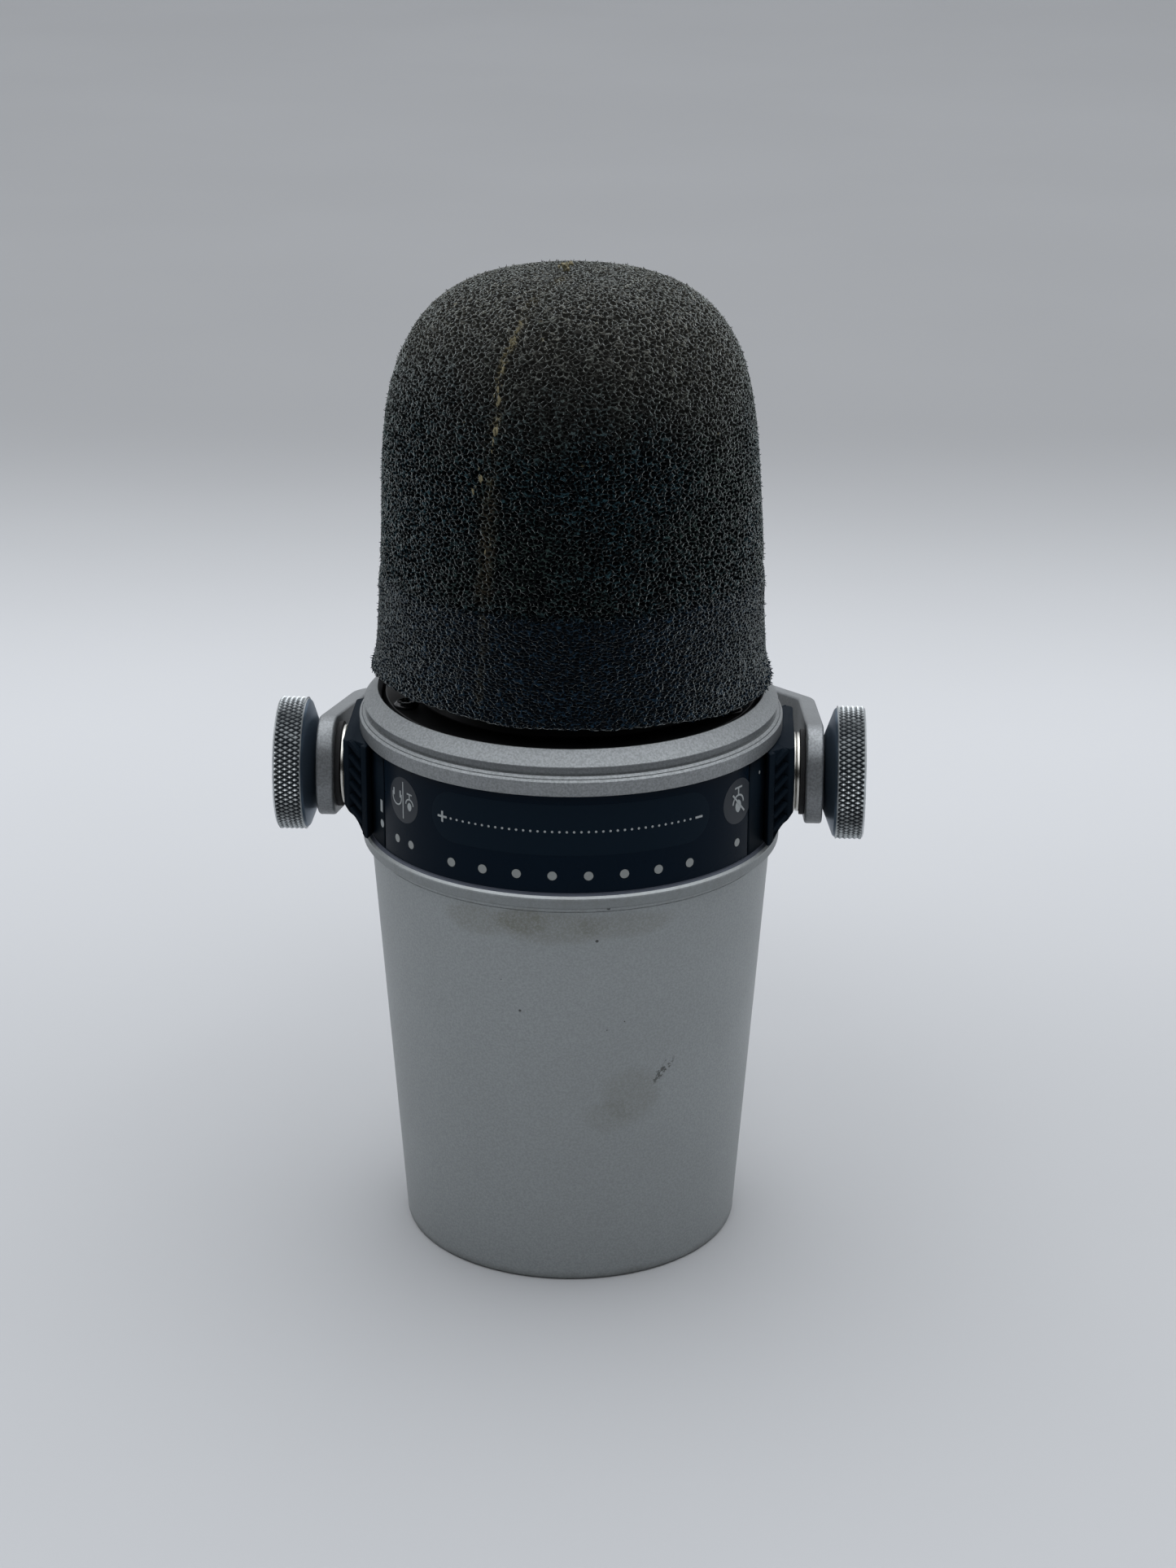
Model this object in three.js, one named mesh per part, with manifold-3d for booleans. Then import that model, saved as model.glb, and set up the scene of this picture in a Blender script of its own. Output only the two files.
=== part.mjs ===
// A standing end-address broadcast microphone with its foam windscreen, control band and yoke mount.
// Millimetres, +Z up. The microphone stands on the rim of its tail shell, with its controls facing -Y
// and the yoke behind it, towards +Y. The origin is the middle of the footprint, on the surface.
import * as THREE from "three";
import { mergeVertices } from "three/addons/utils/BufferGeometryUtils.js";
import Module from "manifold-3d";

const wasm = await Module();
wasm.setup();

// ---- Driving dimensions ----
const gap = 0.3; // between pieces that touch on the real object
const roundSteps = 36; // sides of a large turned piece
const ringSteps = 24; // sides of a piece under 30 mm across
const smallSteps = 16; // sides of a small turned piece
const fineSteps = 12; // sides of a screw, a pin or a small hole

const tailRimRadius = 26.34;
const tailTopRadius = 31.0;
const tailHeight = 64.7;
const tailWall = 2.0;
const lipRadius = 32.26;
const lipThickness = 1.7;
const lipTop = tailHeight + lipThickness;
const edge = 0.4; // chamfer on turned edges
const panelFloor = 5.0; // underside of the connector panel, up inside the tail
const panelThickness = 2.5;

const bandRadius = 31.4;
const bandBase = lipTop + gap;
const bandTop = 82.5;
const bandInner = 28.2;
const lensThickness = 0.8;
const lensHalfAngle = 61; // degrees each way from the front
const windowHalfAngle = 40;
const windowLow = 68.6; // of the opening that the lights and the touch sensor work through
const windowHigh = 81.2;
const sensor = { bore: 29.0, radius: 29.9, low: 72.4, high: 80.9 };
const guide = { bore: 28.7, radius: 30.1, low: 68.9, high: 71.8 };

const bezelBase = bandTop + gap;
const bezelRadius = 32.42;
const bezelBore = 29.0;
const bezelTop = 89.1;
const bezelStep = 85.4; // top of the bezel's plain band
const bezelUpperRadius = 30.7; // of the slope above the groove
const collarBore = 21.0;

const basketRadius = 23.0;
const basketTop = 146.5;
const basketWall = 1.0;
const basketShoulder = 116; // where its dome starts
const linerThickness = 1.9;
const flangeZ = 87.9; // underside of the basket's flange, on the collar
const flangeThickness = 0.5;
const flangeRadius = 28.4;
const grilleScrewRadius = 26.5; // of the circle that the four screws stand on
const grilleScrewAngle = 66.5; // degrees from the front, and the same from the back
const grilleScrew = { head: 1.9, height: 0.8, shank: 1.0, length: 4, hole: 1.3 };

const foamBase = 90.8;
const foamRadius = 29.3; // at this height:
const foamRadiusHeight = 100;
const foamTaper = 0.047; // millimetres of radius lost per millimetre of height
const foamFlare = 0.4; // extra radius at the bottom edge
const foamShoulder = 118.7; // where the dome starts
const foamTop = 152.4;
const foamBore = basketRadius + gap;
const foamBoreTop = basketTop + gap;

const pivotZ = 75.13;
const bracketFace = 34.2; // outer face of a side bracket, from the middle
const bracketHalfWidth = 9.5; // of that face
const bracketHalfAngle = 28.7; // degrees of the band that the bracket covers, each way
const bracketHeight = 14.2;
const insertRadius = 4.6;
const washer = { radius: 6.1, thickness: 0.8 };
const frictionPadRadius = 6.6;
const studRadius = 2.7;
const studBore = 3.2;
const knobRadius = 10.25;
const knobFace = 45.085;
const knobBand = 40.9; // where the knurled band starts
const knobNose = 38.95;
const knobNoseRadius = 5.8;
const knobBoreTop = 42.4;
const studEnds = [28.8, 42.2];

const armInner = 36.0;
const strapThickness = 2.7;
const strapHeight = 15.4;
const armFront = 8.0; // how far the arm's round end stands in front of the pivot
const armCorner = 6.0;
const armStraight = 39.0; // where the arm starts to lean in, behind the pivot
const armLean = 14; // degrees
const leanBend = 28.0;
const backBend = 12.0;
const crossInner = 80.2; // inner face of the cross-piece, from the pivot
const yokeReach = 86.0; // the stand boss's face, from the pivot
const yokeTilt = 14; // degrees that the yoke hangs below level
const bossRadius = 11.5;
const padRadius = 12.6; // of the round pad that the strap widens to behind the stand boss
const bossNeck = 8.9;
const threadRadius = 7.94; // of the 5/8 inch stand thread
const adapterBore = 4.4; // of the 3/8 inch thread inside the reducer

const xlrY = 9.5;
const xlrOuter = 9.8;
const xlrBore = 8.2;
const xlrMouth = 4.6;
const xlrFloor = 20.0;
const xlrFloorThickness = 3;
const pinCircle = 4.1;
const pinRadius = 1.2;
const pinTip = 9.4;
const pinHeadings = [-150, -30, 90]; // degrees
const usb = { x: -8, y: -11, width: 7.6, height: 2.8, wall: 0.4, depth: 7 };
const jack = { x: 8, y: -11, radius: 4.0, bore: 1.8, depth: 14 };
const tailScrews = [[17.5, 3], [-17.5, 3], [0, -20]];
const tailScrew = { head: 2.3, height: 1.0, shank: 1.1, length: 8, hole: 1.5 };

const chassis = { bore: 16.4, radius: 18.0, footRadius: 28.0, base: 60, foot: 2.5, top: 116 };
const capsule = { radius: 12.6, wall: 1.2, base: 86, floor: 2, top: 134 };
const shockMounts = { height: 5, lower: 90, upper: 109 };
const magnet = { radius: 8, low: 108, high: 121 };
const voiceCoil = { bore: 8.6, radius: 9.3, low: 119, high: 127.5 };
const diaphragm = { rim: 10.9, roll: 8.6, crease: 6.5, thickness: 0.3, low: 128.0, high: 129.6 };
const cap = { thickness: 2, holeRadius: 2, holeCircle: 7, holes: 6 };
const board = { width: 40, thickness: 1.6, height: 44, y: -2.5, z: 34 };
const shield = { width: 18, thickness: 3, height: 18, y: -5.1, z: 36 };
const transformer = { width: 16, depth: 14, height: 15, z: 73 };

// ---- Finishes ----
const finish = (color, roughness, metalness = 0) => ({ color, roughness, metalness });
const finishes = {
  silverPaint: finish(0x868a8c, 0.5, 0.6),
  blackPlastic: finish(0x14161a, 0.42),
  lens: finish(0x0c0e14, 0.2),
  darkMetal: finish(0x3c4144, 0.45, 0.8),
  steel: finish(0xa9aaa8, 0.3, 1),
  zinc: finish(0x74787a, 0.45, 0.9),
  brass: finish(0xa68a4a, 0.35, 1),
  foam: finish(0x222425, 1),
  rubber: finish(0x1a1a1a, 0.9),
  board: finish(0x1e4a30, 0.6),
  clear: finish(0xc8ccd0, 0.3),
  mesh: finish(0x2a2c2e, 0.5, 0.8),
};

// ---- Helpers ----
const radians = THREE.MathUtils.degToRad;
const model = new THREE.Group();

// A piece of the microphone: a named mesh with a material of its own.
function piece(name, geometry, look, parent = model) {
  const mesh = new THREE.Mesh(geometry, new THREE.MeshStandardMaterial(finishes[look]));
  mesh.name = name;
  parent.add(mesh);
  return mesh;
}

// Turns [radius, z] points about Z. They run anticlockwise, with the radius to the right.
function turned(profile, steps = roundSteps) {
  const onAxis = profile[0][0] === 0;
  const loop = onAxis ? profile : [...profile, profile[0]];
  const points = loop.map(([r, z]) => new THREE.Vector2(r, z));
  return new THREE.LatheGeometry(points, steps).rotateX(Math.PI / 2);
}

const disc = (radius, low, high, steps = smallSteps) =>
  turned([[0, low], [radius, low], [radius, high], [0, high]], steps);

const tube = (bore, radius, low, high, steps = roundSteps) =>
  turned([[bore, low], [radius, low], [radius, high], [bore, high]], steps);

const block = (width, depth, height, x, y, z) =>
  new THREE.BoxGeometry(width, depth, height).translate(x, y, z);

// Lays a piece that was turned about Z along X, at the height of the pivots.
const alongX = (geometry) => geometry.rotateY(Math.PI / 2).translate(0, 0, pivotZ);

// An upright wall that follows an arc centred on the front, -Y.
function arcWall(bore, radius, halfAngle, low, high) {
  const [from, to] = [radians(-90 - halfAngle), radians(-90 + halfAngle)];
  const shape = new THREE.Shape();
  shape.absarc(0, 0, radius, from, to, false);
  shape.absarc(0, 0, bore, to, from, true);
  const options = { depth: high - low, bevelEnabled: false, curveSegments: 24 };
  return new THREE.ExtrudeGeometry(shape, options).translate(0, 0, low);
}

// A closed geometry as a solid that can be cut and joined.
function solid(geometry) {
  const bare = geometry.clone();
  bare.deleteAttribute("normal");
  bare.deleteAttribute("uv");
  const merged = mergeVertices(bare, 1e-4);
  return new wasm.Manifold(new wasm.Mesh({
    numProp: 3,
    vertProperties: new Float32Array(merged.attributes.position.array),
    triVerts: new Uint32Array(merged.index.array),
  }));
}

// A solid's surface as a geometry again.
function surfaceOf(body) {
  const { vertProperties, triVerts } = body.getMesh();
  return new THREE.BufferGeometry()
    .setAttribute("position", new THREE.BufferAttribute(vertProperties, 3))
    .setIndex(new THREE.BufferAttribute(triVerts, 1))
    .toNonIndexed();
}

// The first geometry with the others cut out of it, what two share, and two as one.
const cut = (geometry, ...tools) =>
  surfaceOf(tools.reduce((body, tool) => body.subtract(solid(tool)), solid(geometry)));
const shared = (a, b) => surfaceOf(solid(a).intersect(solid(b)));
const joined = (a, b) => surfaceOf(solid(a).add(solid(b)));

// A pan-head screw that points down, with the underside of its head at z = 0.
const screw = ({ head, height, shank, length }) =>
  turned([
    [0, -length], [shank, -length], [shank, 0], [head, 0], [head, height * 0.6],
    [head * 0.7, height], [0, height],
  ], fineSteps);

// ---- Tail: shell, connector panel and connectors ----
const tailInner = (z) =>
  tailRimRadius - tailWall + ((tailTopRadius - tailRimRadius) * z) / tailHeight;

function makeTail() {
  const lipBore = tailInner(tailHeight) + edge / 2;
  piece("tail_shell", turned([
    [tailInner(0), 0], [tailRimRadius - edge, 0], [tailRimRadius, edge],
    [tailTopRadius, tailHeight], [lipRadius - edge / 4, tailHeight + edge / 4],
    [lipRadius, tailHeight + 0.75 * edge], [lipRadius, lipTop - edge / 2],
    [lipRadius - edge / 2, lipTop], [lipBore, lipTop], [lipBore, tailHeight],
  ]), "silverPaint");

  const panelRadius = tailInner(panelFloor) - gap;
  const panelTop = panelFloor + panelThickness;
  const holeLow = panelFloor - 1;
  const holeHigh = panelTop + 1;
  const usbHole = block(usb.width + 2 * gap, usb.height + 2 * gap, 3 * panelThickness, usb.x, usb.y,
    panelFloor + panelThickness / 2);
  const screwHoles = tailScrews.map(([x, y]) =>
    disc(tailScrew.hole, holeLow, holeHigh, fineSteps).translate(x, y, 0));
  piece("tail_panel", cut(
    disc(panelRadius, panelFloor, panelTop, roundSteps),
    disc(xlrOuter + gap, holeLow, holeHigh, ringSteps).translate(0, xlrY, 0),
    usbHole,
    disc(jack.radius + gap, holeLow, holeHigh).translate(jack.x, jack.y, 0),
    ...screwHoles,
  ), "blackPlastic");
  tailScrews.forEach(([x, y], i) => {
    const made = piece(`tail_screw_${i + 1}`, screw(tailScrew), "steel");
    made.position.set(x, y, panelFloor - 0.1);
    made.rotation.x = Math.PI;
  });

  const xlrTop = xlrFloor + xlrFloorThickness;
  piece("xlr_shell", tube(xlrBore, xlrOuter, xlrMouth, xlrTop, ringSteps), "blackPlastic")
    .position.y = xlrY;
  const pins = pinHeadings.map((heading) => [
    pinCircle * Math.cos(radians(heading)), pinCircle * Math.sin(radians(heading)),
  ]);
  const pinBores = pins.map(([x, y]) =>
    disc(pinRadius + 0.2, xlrFloor - 1, xlrTop + 1, fineSteps).translate(x, y, 0));
  const insert = disc(xlrBore - gap, xlrFloor, xlrTop, ringSteps);
  piece("xlr_insert", cut(insert, ...pinBores), "blackPlastic").position.y = xlrY;
  const pinEnd = xlrTop + 2;
  pins.forEach(([x, y], i) => {
    const pin = turned([
      [0, pinTip], [pinRadius * 0.6, pinTip + 0.1], [pinRadius, pinTip + 0.9], [pinRadius, pinEnd],
      [0, pinEnd],
    ], fineSteps);
    piece(`xlr_pin_${i + 1}`, pin, "steel").position.set(x, xlrY + y, 0);
  });

  const usbMiddle = panelFloor - 0.2 + usb.depth / 2;
  const usbBore = [usb.width - 2 * usb.wall, usb.height - 2 * usb.wall, usb.depth];
  piece("usb_socket", cut(
    block(usb.width, usb.height, usb.depth, usb.x, usb.y, usbMiddle),
    block(...usbBore, usb.x, usb.y, usbMiddle - 2 * usb.wall),
  ), "steel");
  const tongue = [usb.width - 3, 2 * usb.wall, usb.depth - 3];
  piece("usb_tongue", block(...tongue, usb.x, usb.y, usbMiddle + usb.wall), "blackPlastic");
  const [jackMouth, jackEnd] = [panelFloor - 0.4, panelFloor + jack.depth];
  piece("headphone_jack", cut(
    disc(jack.radius, jackMouth, jackEnd),
    disc(jack.bore, jackMouth - 1, jackEnd - 1.5),
  ), "steel").position.set(jack.x, jack.y, 0);
}

// ---- Electronics and the capsule inside ----
function makeInside() {
  const foot = chassis.base + chassis.foot;
  piece("inner_chassis", turned([
    [chassis.bore, chassis.base], [chassis.footRadius, chassis.base], [chassis.footRadius, foot],
    [chassis.radius, foot], [chassis.radius, chassis.top], [chassis.bore, chassis.top],
  ]), "darkMetal");
  piece("main_board", block(board.width, board.thickness, board.height, 0, board.y, board.z), "board");
  piece("processor_shield",
    block(shield.width, shield.thickness, shield.height, 0, shield.y, shield.z), "steel");
  piece("transformer",
    block(transformer.width, transformer.depth, transformer.height, 0, 0, transformer.z), "darkMetal");

  const mountRing = (low) =>
    tube(capsule.radius + 0.2, chassis.bore - 0.2, low, low + shockMounts.height, ringSteps);
  piece("shock_mount_lower", mountRing(shockMounts.lower), "rubber");
  piece("shock_mount_upper", mountRing(shockMounts.upper), "rubber");
  const [capsuleBore, capsuleFloor] = [capsule.radius - capsule.wall, capsule.base + capsule.floor];
  piece("capsule_housing", turned([
    [0, capsule.base], [capsule.radius, capsule.base], [capsule.radius, capsule.top],
    [capsuleBore, capsule.top], [capsuleBore, capsuleFloor], [0, capsuleFloor],
  ], ringSteps), "darkMetal");
  piece("magnet", disc(magnet.radius, magnet.low, magnet.high, ringSteps), "steel");
  piece("voice_coil",
    tube(voiceCoil.bore, voiceCoil.radius, voiceCoil.low, voiceCoil.high, ringSteps), "brass");
  makeDiaphragm();

  const [holeLow, holeHigh] = [capsule.top - 1, capsule.top + 2 * cap.thickness];
  const hole = () => disc(cap.holeRadius, holeLow, holeHigh, fineSteps);
  const ringOfHoles = Array.from({ length: cap.holes }, (_, i) =>
    hole().translate(cap.holeCircle, 0, 0).rotateZ((i * 2 * Math.PI) / cap.holes));
  const capBase = capsule.top + 0.2;
  piece("capsule_cap", cut(
    disc(capsule.radius, capBase, capBase + cap.thickness, ringSteps), hole(), ...ringOfHoles,
  ), "darkMetal");
}

// A thin domed film with a rolled surround, the same thickness all over.
function makeDiaphragm() {
  const { rim, roll, crease, thickness, low, high } = diaphragm;
  const under = [[0, high], [crease, low + 0.4], [roll, low], [rim, low + 0.6]];
  const over = [...under].reverse().map(([r, z]) => [r, z + thickness]);
  piece("diaphragm", turned([...under, ...over], ringSteps), "clear");
}

// ---- Control band ----
function makeBand() {
  piece("seat_ring", tube(bandRadius + gap, lipRadius - 0.1, bandBase, bandBase + 0.45), "darkMetal");

  const lensBack = bandRadius - lensThickness - gap;
  const pocket = arcWall(lensBack, bandRadius + 5, lensHalfAngle, bandBase - 1, bandTop + 1);
  const window = arcWall(bandInner - 2, bandRadius + 5, windowHalfAngle, windowLow, windowHigh);
  const pivotBore = alongX(disc(insertRadius + gap, -50, 50));
  const ring = tube(bandInner, bandRadius, bandBase, bandTop);
  piece("control_housing", cut(ring, pocket, window, pivotBore), "blackPlastic");
  const lensBore = bandRadius - lensThickness;
  piece("touch_lens",
    arcWall(lensBore, bandRadius, lensHalfAngle - 0.6, bandBase + 0.1, bandTop - 0.1), "lens");
  const inWindow = ({ bore, radius, low, high }) =>
    arcWall(bore, radius, windowHalfAngle - 1.5, low, high);
  piece("touch_sensor", inWindow(sensor), "board");
  piece("light_guide", inWindow(guide), "clear");

  for (const [side, heading] of [["right", 0], ["left", 180]]) {
    const half = new THREE.Group();
    half.rotation.z = radians(heading);
    model.add(half);
    makePivotSide(side, half);
  }
}

// The pieces that one yoke arm bears on, on the +X side of their own group.
function makePivotSide(side, half) {
  const plan = new THREE.Shape();
  const [bodyArc, sweep] = [bandRadius + gap, radians(bracketHalfAngle)];
  plan.absarc(0, 0, bodyArc, sweep, -sweep, true);
  plan.lineTo(bracketFace, -bracketHalfWidth);
  plan.lineTo(bracketFace, bracketHalfWidth);
  const bracket = new THREE.ExtrudeGeometry(plan, {
    depth: bracketHeight, bevelEnabled: false, curveSegments: 14,
  }).translate(0, 0, pivotZ - bracketHeight / 2);
  const bore = alongX(disc(insertRadius + gap, bandInner, bracketFace + 5));
  piece(`bracket_${side}`, cut(bracket, bore), "blackPlastic", half);
  const insert = tube(studBore, insertRadius, bandInner + gap, bracketFace - 0.1, smallSteps);
  piece(`pivot_insert_${side}`, alongX(insert), "brass", half);
  const washerBase = bracketFace + 0.15;
  const padBase = washerBase + washer.thickness + 0.15;
  const washerRing = tube(studBore, washer.radius, washerBase, washerBase + washer.thickness, ringSteps);
  piece(`washer_${side}`, alongX(washerRing), "steel", half);
  const padRing = tube(studBore, frictionPadRadius, padBase, armInner - 0.15, ringSteps);
  piece(`friction_pad_${side}`, alongX(padRing), "rubber", half);

  const knobBore = studRadius + 0.2;
  piece(`knob_${side}`, alongX(turned([
    [knobBore, knobNose], [knobNoseRadius, knobNose], [knobNoseRadius + 0.3, knobNose + edge],
    [knobRadius - edge, knobBand - 0.3], [knobRadius, knobBand], [knobRadius, knobFace - edge],
    [knobRadius - edge, knobFace], [knobRadius - 2.0, knobFace], [knobRadius - 2.6, knobFace - 0.5],
    [0, knobFace - 0.5], [0, knobBoreTop], [knobBore, knobBoreTop],
  ], 28)), "zinc", half);
  piece(`stud_${side}`, alongX(disc(studRadius, ...studEnds)), "steel", half);
}

// ---- Bezel, collar and grille ----
function makeHead() {
  piece("bezel_ring", turned([
    [bezelBore, bezelBase], [bezelRadius - 0.15, bezelBase], [bezelRadius, bezelBase + 0.15],
    [bezelRadius, bezelStep - 0.3], [bezelRadius - 0.3, bezelStep],
    [bezelUpperRadius + 0.5, bezelStep - 0.1], [bezelUpperRadius + 0.6, bezelStep + 0.3],
    [bezelUpperRadius, bezelStep + 0.5], [bezelUpperRadius, bezelStep + 1.55],
    [bezelBore + 0.3, bezelTop], [bezelBore, bezelTop - 0.1],
  ]), "silverPaint");

  const screwPlaces = [-1, 1].flatMap((front) => [-1, 1].map((side) => [
    side * grilleScrewRadius * Math.sin(radians(grilleScrewAngle)),
    front * grilleScrewRadius * Math.cos(radians(grilleScrewAngle)),
  ]));
  const holes = (low, high) => screwPlaces.map(([x, y]) =>
    disc(grilleScrew.hole, low, high, fineSteps).translate(x, y, 0));
  piece("grille_collar", cut(
    tube(collarBore, bezelBore - gap, bezelBase, flangeZ - gap),
    ...holes(flangeZ - grilleScrew.length, flangeZ),
  ), "blackPlastic");

  const inner = basketRadius - basketWall;
  const outerDome = domeProfile(basketRadius, basketTop);
  const innerDome = domeProfile(inner, basketTop - basketWall).reverse();
  const basket = turned([
    [inner, flangeZ], [flangeRadius, flangeZ], [flangeRadius, flangeZ + flangeThickness],
    [basketRadius, flangeZ + flangeThickness], ...outerDome, ...innerDome,
  ]);
  piece("grille_basket", cut(basket, ...holes(flangeZ - 1, flangeZ + 2)), "mesh");
  screwPlaces.forEach(([x, y], i) => {
    piece(`grille_screw_${i + 1}`, screw(grilleScrew), "steel")
      .position.set(x, y, flangeZ + flangeThickness + 0.1);
  });

  const [linerRadius, linerTop] = [inner - gap, basketTop - basketWall - gap];
  const linerBore = linerRadius - linerThickness;
  piece("pop_liner", turned([
    [linerBore, flangeZ + 1], [linerRadius, flangeZ + 1], ...domeProfile(linerRadius, linerTop),
    ...domeProfile(linerBore, linerTop - linerThickness).reverse(),
  ]), "foam");
}

// The outline of a rounded top, from its shoulder up to the axis. The powers set how square it is.
function dome(radiusAt, top, shoulder, steps, [risePower, reachPower]) {
  return Array.from({ length: steps + 1 }, (_, i) => {
    const height = Math.sin(((i / steps) * Math.PI) / 2);
    const z = shoulder + (top - shoulder) * height;
    const reach = Math.pow(1 - Math.pow(height, risePower), 1 / reachPower);
    return [i === steps ? 0 : radiusAt(z) * reach, z];
  });
}

// The grille's dome, or one inside it.
const domeProfile = (radius, top) => dome(() => radius, top, basketShoulder, 5, [3.0, 2.6]);

// ---- Foam windscreen ----
function makeWindscreen() {
  const sideRadius = (z) => foamRadius - foamTaper * (z - foamRadiusHeight);
  const outer = dome(sideRadius, foamTop, foamShoulder, 8, [3.3, 3.15]);
  const skirt = foamBase + 5.2; // below this height the side flares a little
  piece("foam_windscreen", turned([
    [foamBore, foamBase], [sideRadius(foamBase) + foamFlare, foamBase], [sideRadius(skirt), skirt],
    ...outer, ...domeProfile(foamBore, foamBoreTop).reverse(),
  ]), "foam");
}

// ---- Yoke ----
// The outline of a strap in plan, along straight runs and bends that lead to the middle of the back.
function strapOutline() {
  const half = strapThickness / 2;
  const lean = radians(armLean);
  const crossMiddle = crossInner + half;
  const slant = (crossMiddle - armStraight - leanBend * Math.sin(lean)
    - backBend * (1 - Math.sin(lean))) / Math.cos(lean);
  const [inner, outer] = [[], []];
  let [x, y, heading] = [armInner + half, -armFront, 0]; // heading 0 runs back, along +Y
  const mark = () => {
    inner.push([x - half * Math.cos(heading), y - half * Math.sin(heading)]);
    outer.push([x + half * Math.cos(heading), y + half * Math.sin(heading)]);
  };
  const run = (length) => {
    x -= length * Math.sin(heading);
    y += length * Math.cos(heading);
    mark();
  };
  const bend = (angle, radius, steps) => {
    const chord = 2 * radius * Math.sin(angle / steps / 2);
    for (let i = 0; i < steps; i += 1) {
      heading += angle / steps / 2;
      x -= chord * Math.sin(heading);
      y += chord * Math.cos(heading);
      heading += angle / steps / 2;
      mark();
    }
  };
  mark();
  run(armFront + armStraight);
  bend(lean, leanBend, 3);
  run(slant);
  bend(Math.PI / 2 - lean, backBend, 8);
  const mirrored = (side) => [...side].reverse().map(([px, py]) => [-px, py]);
  return [...outer, ...mirrored(outer), ...[...mirrored(inner)].reverse(), ...[...inner].reverse()];
}

function makeYoke() {
  const yoke = new THREE.Group();
  yoke.position.z = pivotZ;
  yoke.rotation.x = -radians(yokeTilt);
  model.add(yoke);

  const plan = new THREE.Shape(strapOutline().map(([x, y]) => new THREE.Vector2(x, y)));
  const strap = new THREE.ExtrudeGeometry(plan, { depth: strapHeight, bevelEnabled: false })
    .translate(0, 0, -strapHeight / 2);
  const high = strapHeight / 2;
  const side = new THREE.Shape();
  side.moveTo(yokeReach, -high);
  side.lineTo(yokeReach, high);
  side.lineTo(-armFront + armCorner, high);
  side.absarc(-armFront + armCorner, high - armCorner, armCorner, Math.PI / 2, Math.PI, false);
  side.absarc(-armFront + armCorner, armCorner - high, armCorner, Math.PI, 1.5 * Math.PI, false);
  const across = 60; // reaches past both arms
  const sideCut = new THREE.ExtrudeGeometry(side, {
    depth: 2 * across, bevelEnabled: false, curveSegments: 6,
  }).translate(0, 0, -across).applyMatrix4(new THREE.Matrix4().makeBasis(
    new THREE.Vector3(0, 1, 0), new THREE.Vector3(0, 0, 1), new THREE.Vector3(1, 0, 0)));
  const studHole = disc(studBore, -across, across).rotateY(Math.PI / 2);
  const alongY = (geometry) => geometry.rotateX(-Math.PI / 2);
  const bossHole = alongY(disc(bossNeck + gap, crossInner - 5, yokeReach + 5, ringSteps));
  const pad = alongY(disc(padRadius, crossInner, crossInner + strapThickness, ringSteps));
  const blank = joined(shared(strap, sideCut), pad);
  piece("yoke_strap", cut(blank, studHole, bossHole), "silverPaint", yoke);

  const [bossBase, flange] = [crossInner + 0.2, crossInner + strapThickness + 0.2];
  piece("stand_boss", alongY(turned([
    [threadRadius, bossBase], [bossNeck, bossBase], [bossNeck, flange], [bossRadius, flange],
    [bossRadius, yokeReach], [threadRadius, yokeReach],
  ], ringSteps)), "zinc", yoke);
  const adapter = tube(adapterBore, threadRadius - gap, bossBase + 0.2, yokeReach - 0.5, ringSteps);
  piece("thread_adapter", alongY(adapter), "brass", yoke);
}

makeTail();
makeInside();
makeBand();
makeHead();
makeWindscreen();
makeYoke();

// The origin is the middle of the footprint: from the bezel's front to the boss's back edge.
const tilt = radians(yokeTilt);
const backEdge = yokeReach * Math.cos(tilt) + bossRadius * Math.sin(tilt);
model.position.y = (bezelRadius - backEdge) / 2;

export default model;
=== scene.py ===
# A podcast microphone that stands on its tail, with a slip-on foam windscreen and a swivelling yoke.
# Shapes are given in millimetres from the microphone's own axis and the surface that it stands on.
import math
import random

import bmesh
import bpy
import numpy as np
from mathutils import Matrix, Vector


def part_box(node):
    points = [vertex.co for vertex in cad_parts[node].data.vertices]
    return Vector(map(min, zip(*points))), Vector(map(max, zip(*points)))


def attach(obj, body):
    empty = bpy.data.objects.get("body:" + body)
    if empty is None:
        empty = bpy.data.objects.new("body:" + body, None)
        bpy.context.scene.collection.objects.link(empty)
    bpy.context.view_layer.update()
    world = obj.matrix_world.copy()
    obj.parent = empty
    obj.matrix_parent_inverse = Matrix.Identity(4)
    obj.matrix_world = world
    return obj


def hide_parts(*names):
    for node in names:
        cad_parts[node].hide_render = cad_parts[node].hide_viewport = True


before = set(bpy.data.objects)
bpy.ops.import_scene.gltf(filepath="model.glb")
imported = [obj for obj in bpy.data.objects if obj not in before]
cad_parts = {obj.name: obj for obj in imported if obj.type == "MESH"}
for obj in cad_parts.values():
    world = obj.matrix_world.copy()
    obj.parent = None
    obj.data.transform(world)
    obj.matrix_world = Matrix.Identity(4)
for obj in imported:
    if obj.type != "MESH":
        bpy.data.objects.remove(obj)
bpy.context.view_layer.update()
print("frame loaded:", len(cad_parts), "nodes")

mm = 0.001


def middle(node):
    low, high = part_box(node)
    return (low + high) / 2


axisY = middle("tail_shell").y
pivotZ = middle("stud_right").z / mm
bossAway = middle("stand_boss") - Vector((0, axisY, pivotZ * mm))
yokeTilt = math.atan2(-bossAway.z, bossAway.y)
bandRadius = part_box("control_housing")[1].x / mm
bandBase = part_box("control_housing")[0].z / mm
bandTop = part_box("control_housing")[1].z / mm

toOrigin = Matrix.Translation((0, -axisY / mm, 0))
alongX = Matrix.Translation((0, 0, pivotZ)) @ Matrix.Rotation(math.pi / 2, 4, "Y")
yokeFrame = Matrix.Translation((0, 0, pivotZ)) @ Matrix.Rotation(-yokeTilt, 4, "X")
sides = {"right": Matrix.Identity(4), "left": Matrix.Rotation(math.pi, 4, "Z")}


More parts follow.
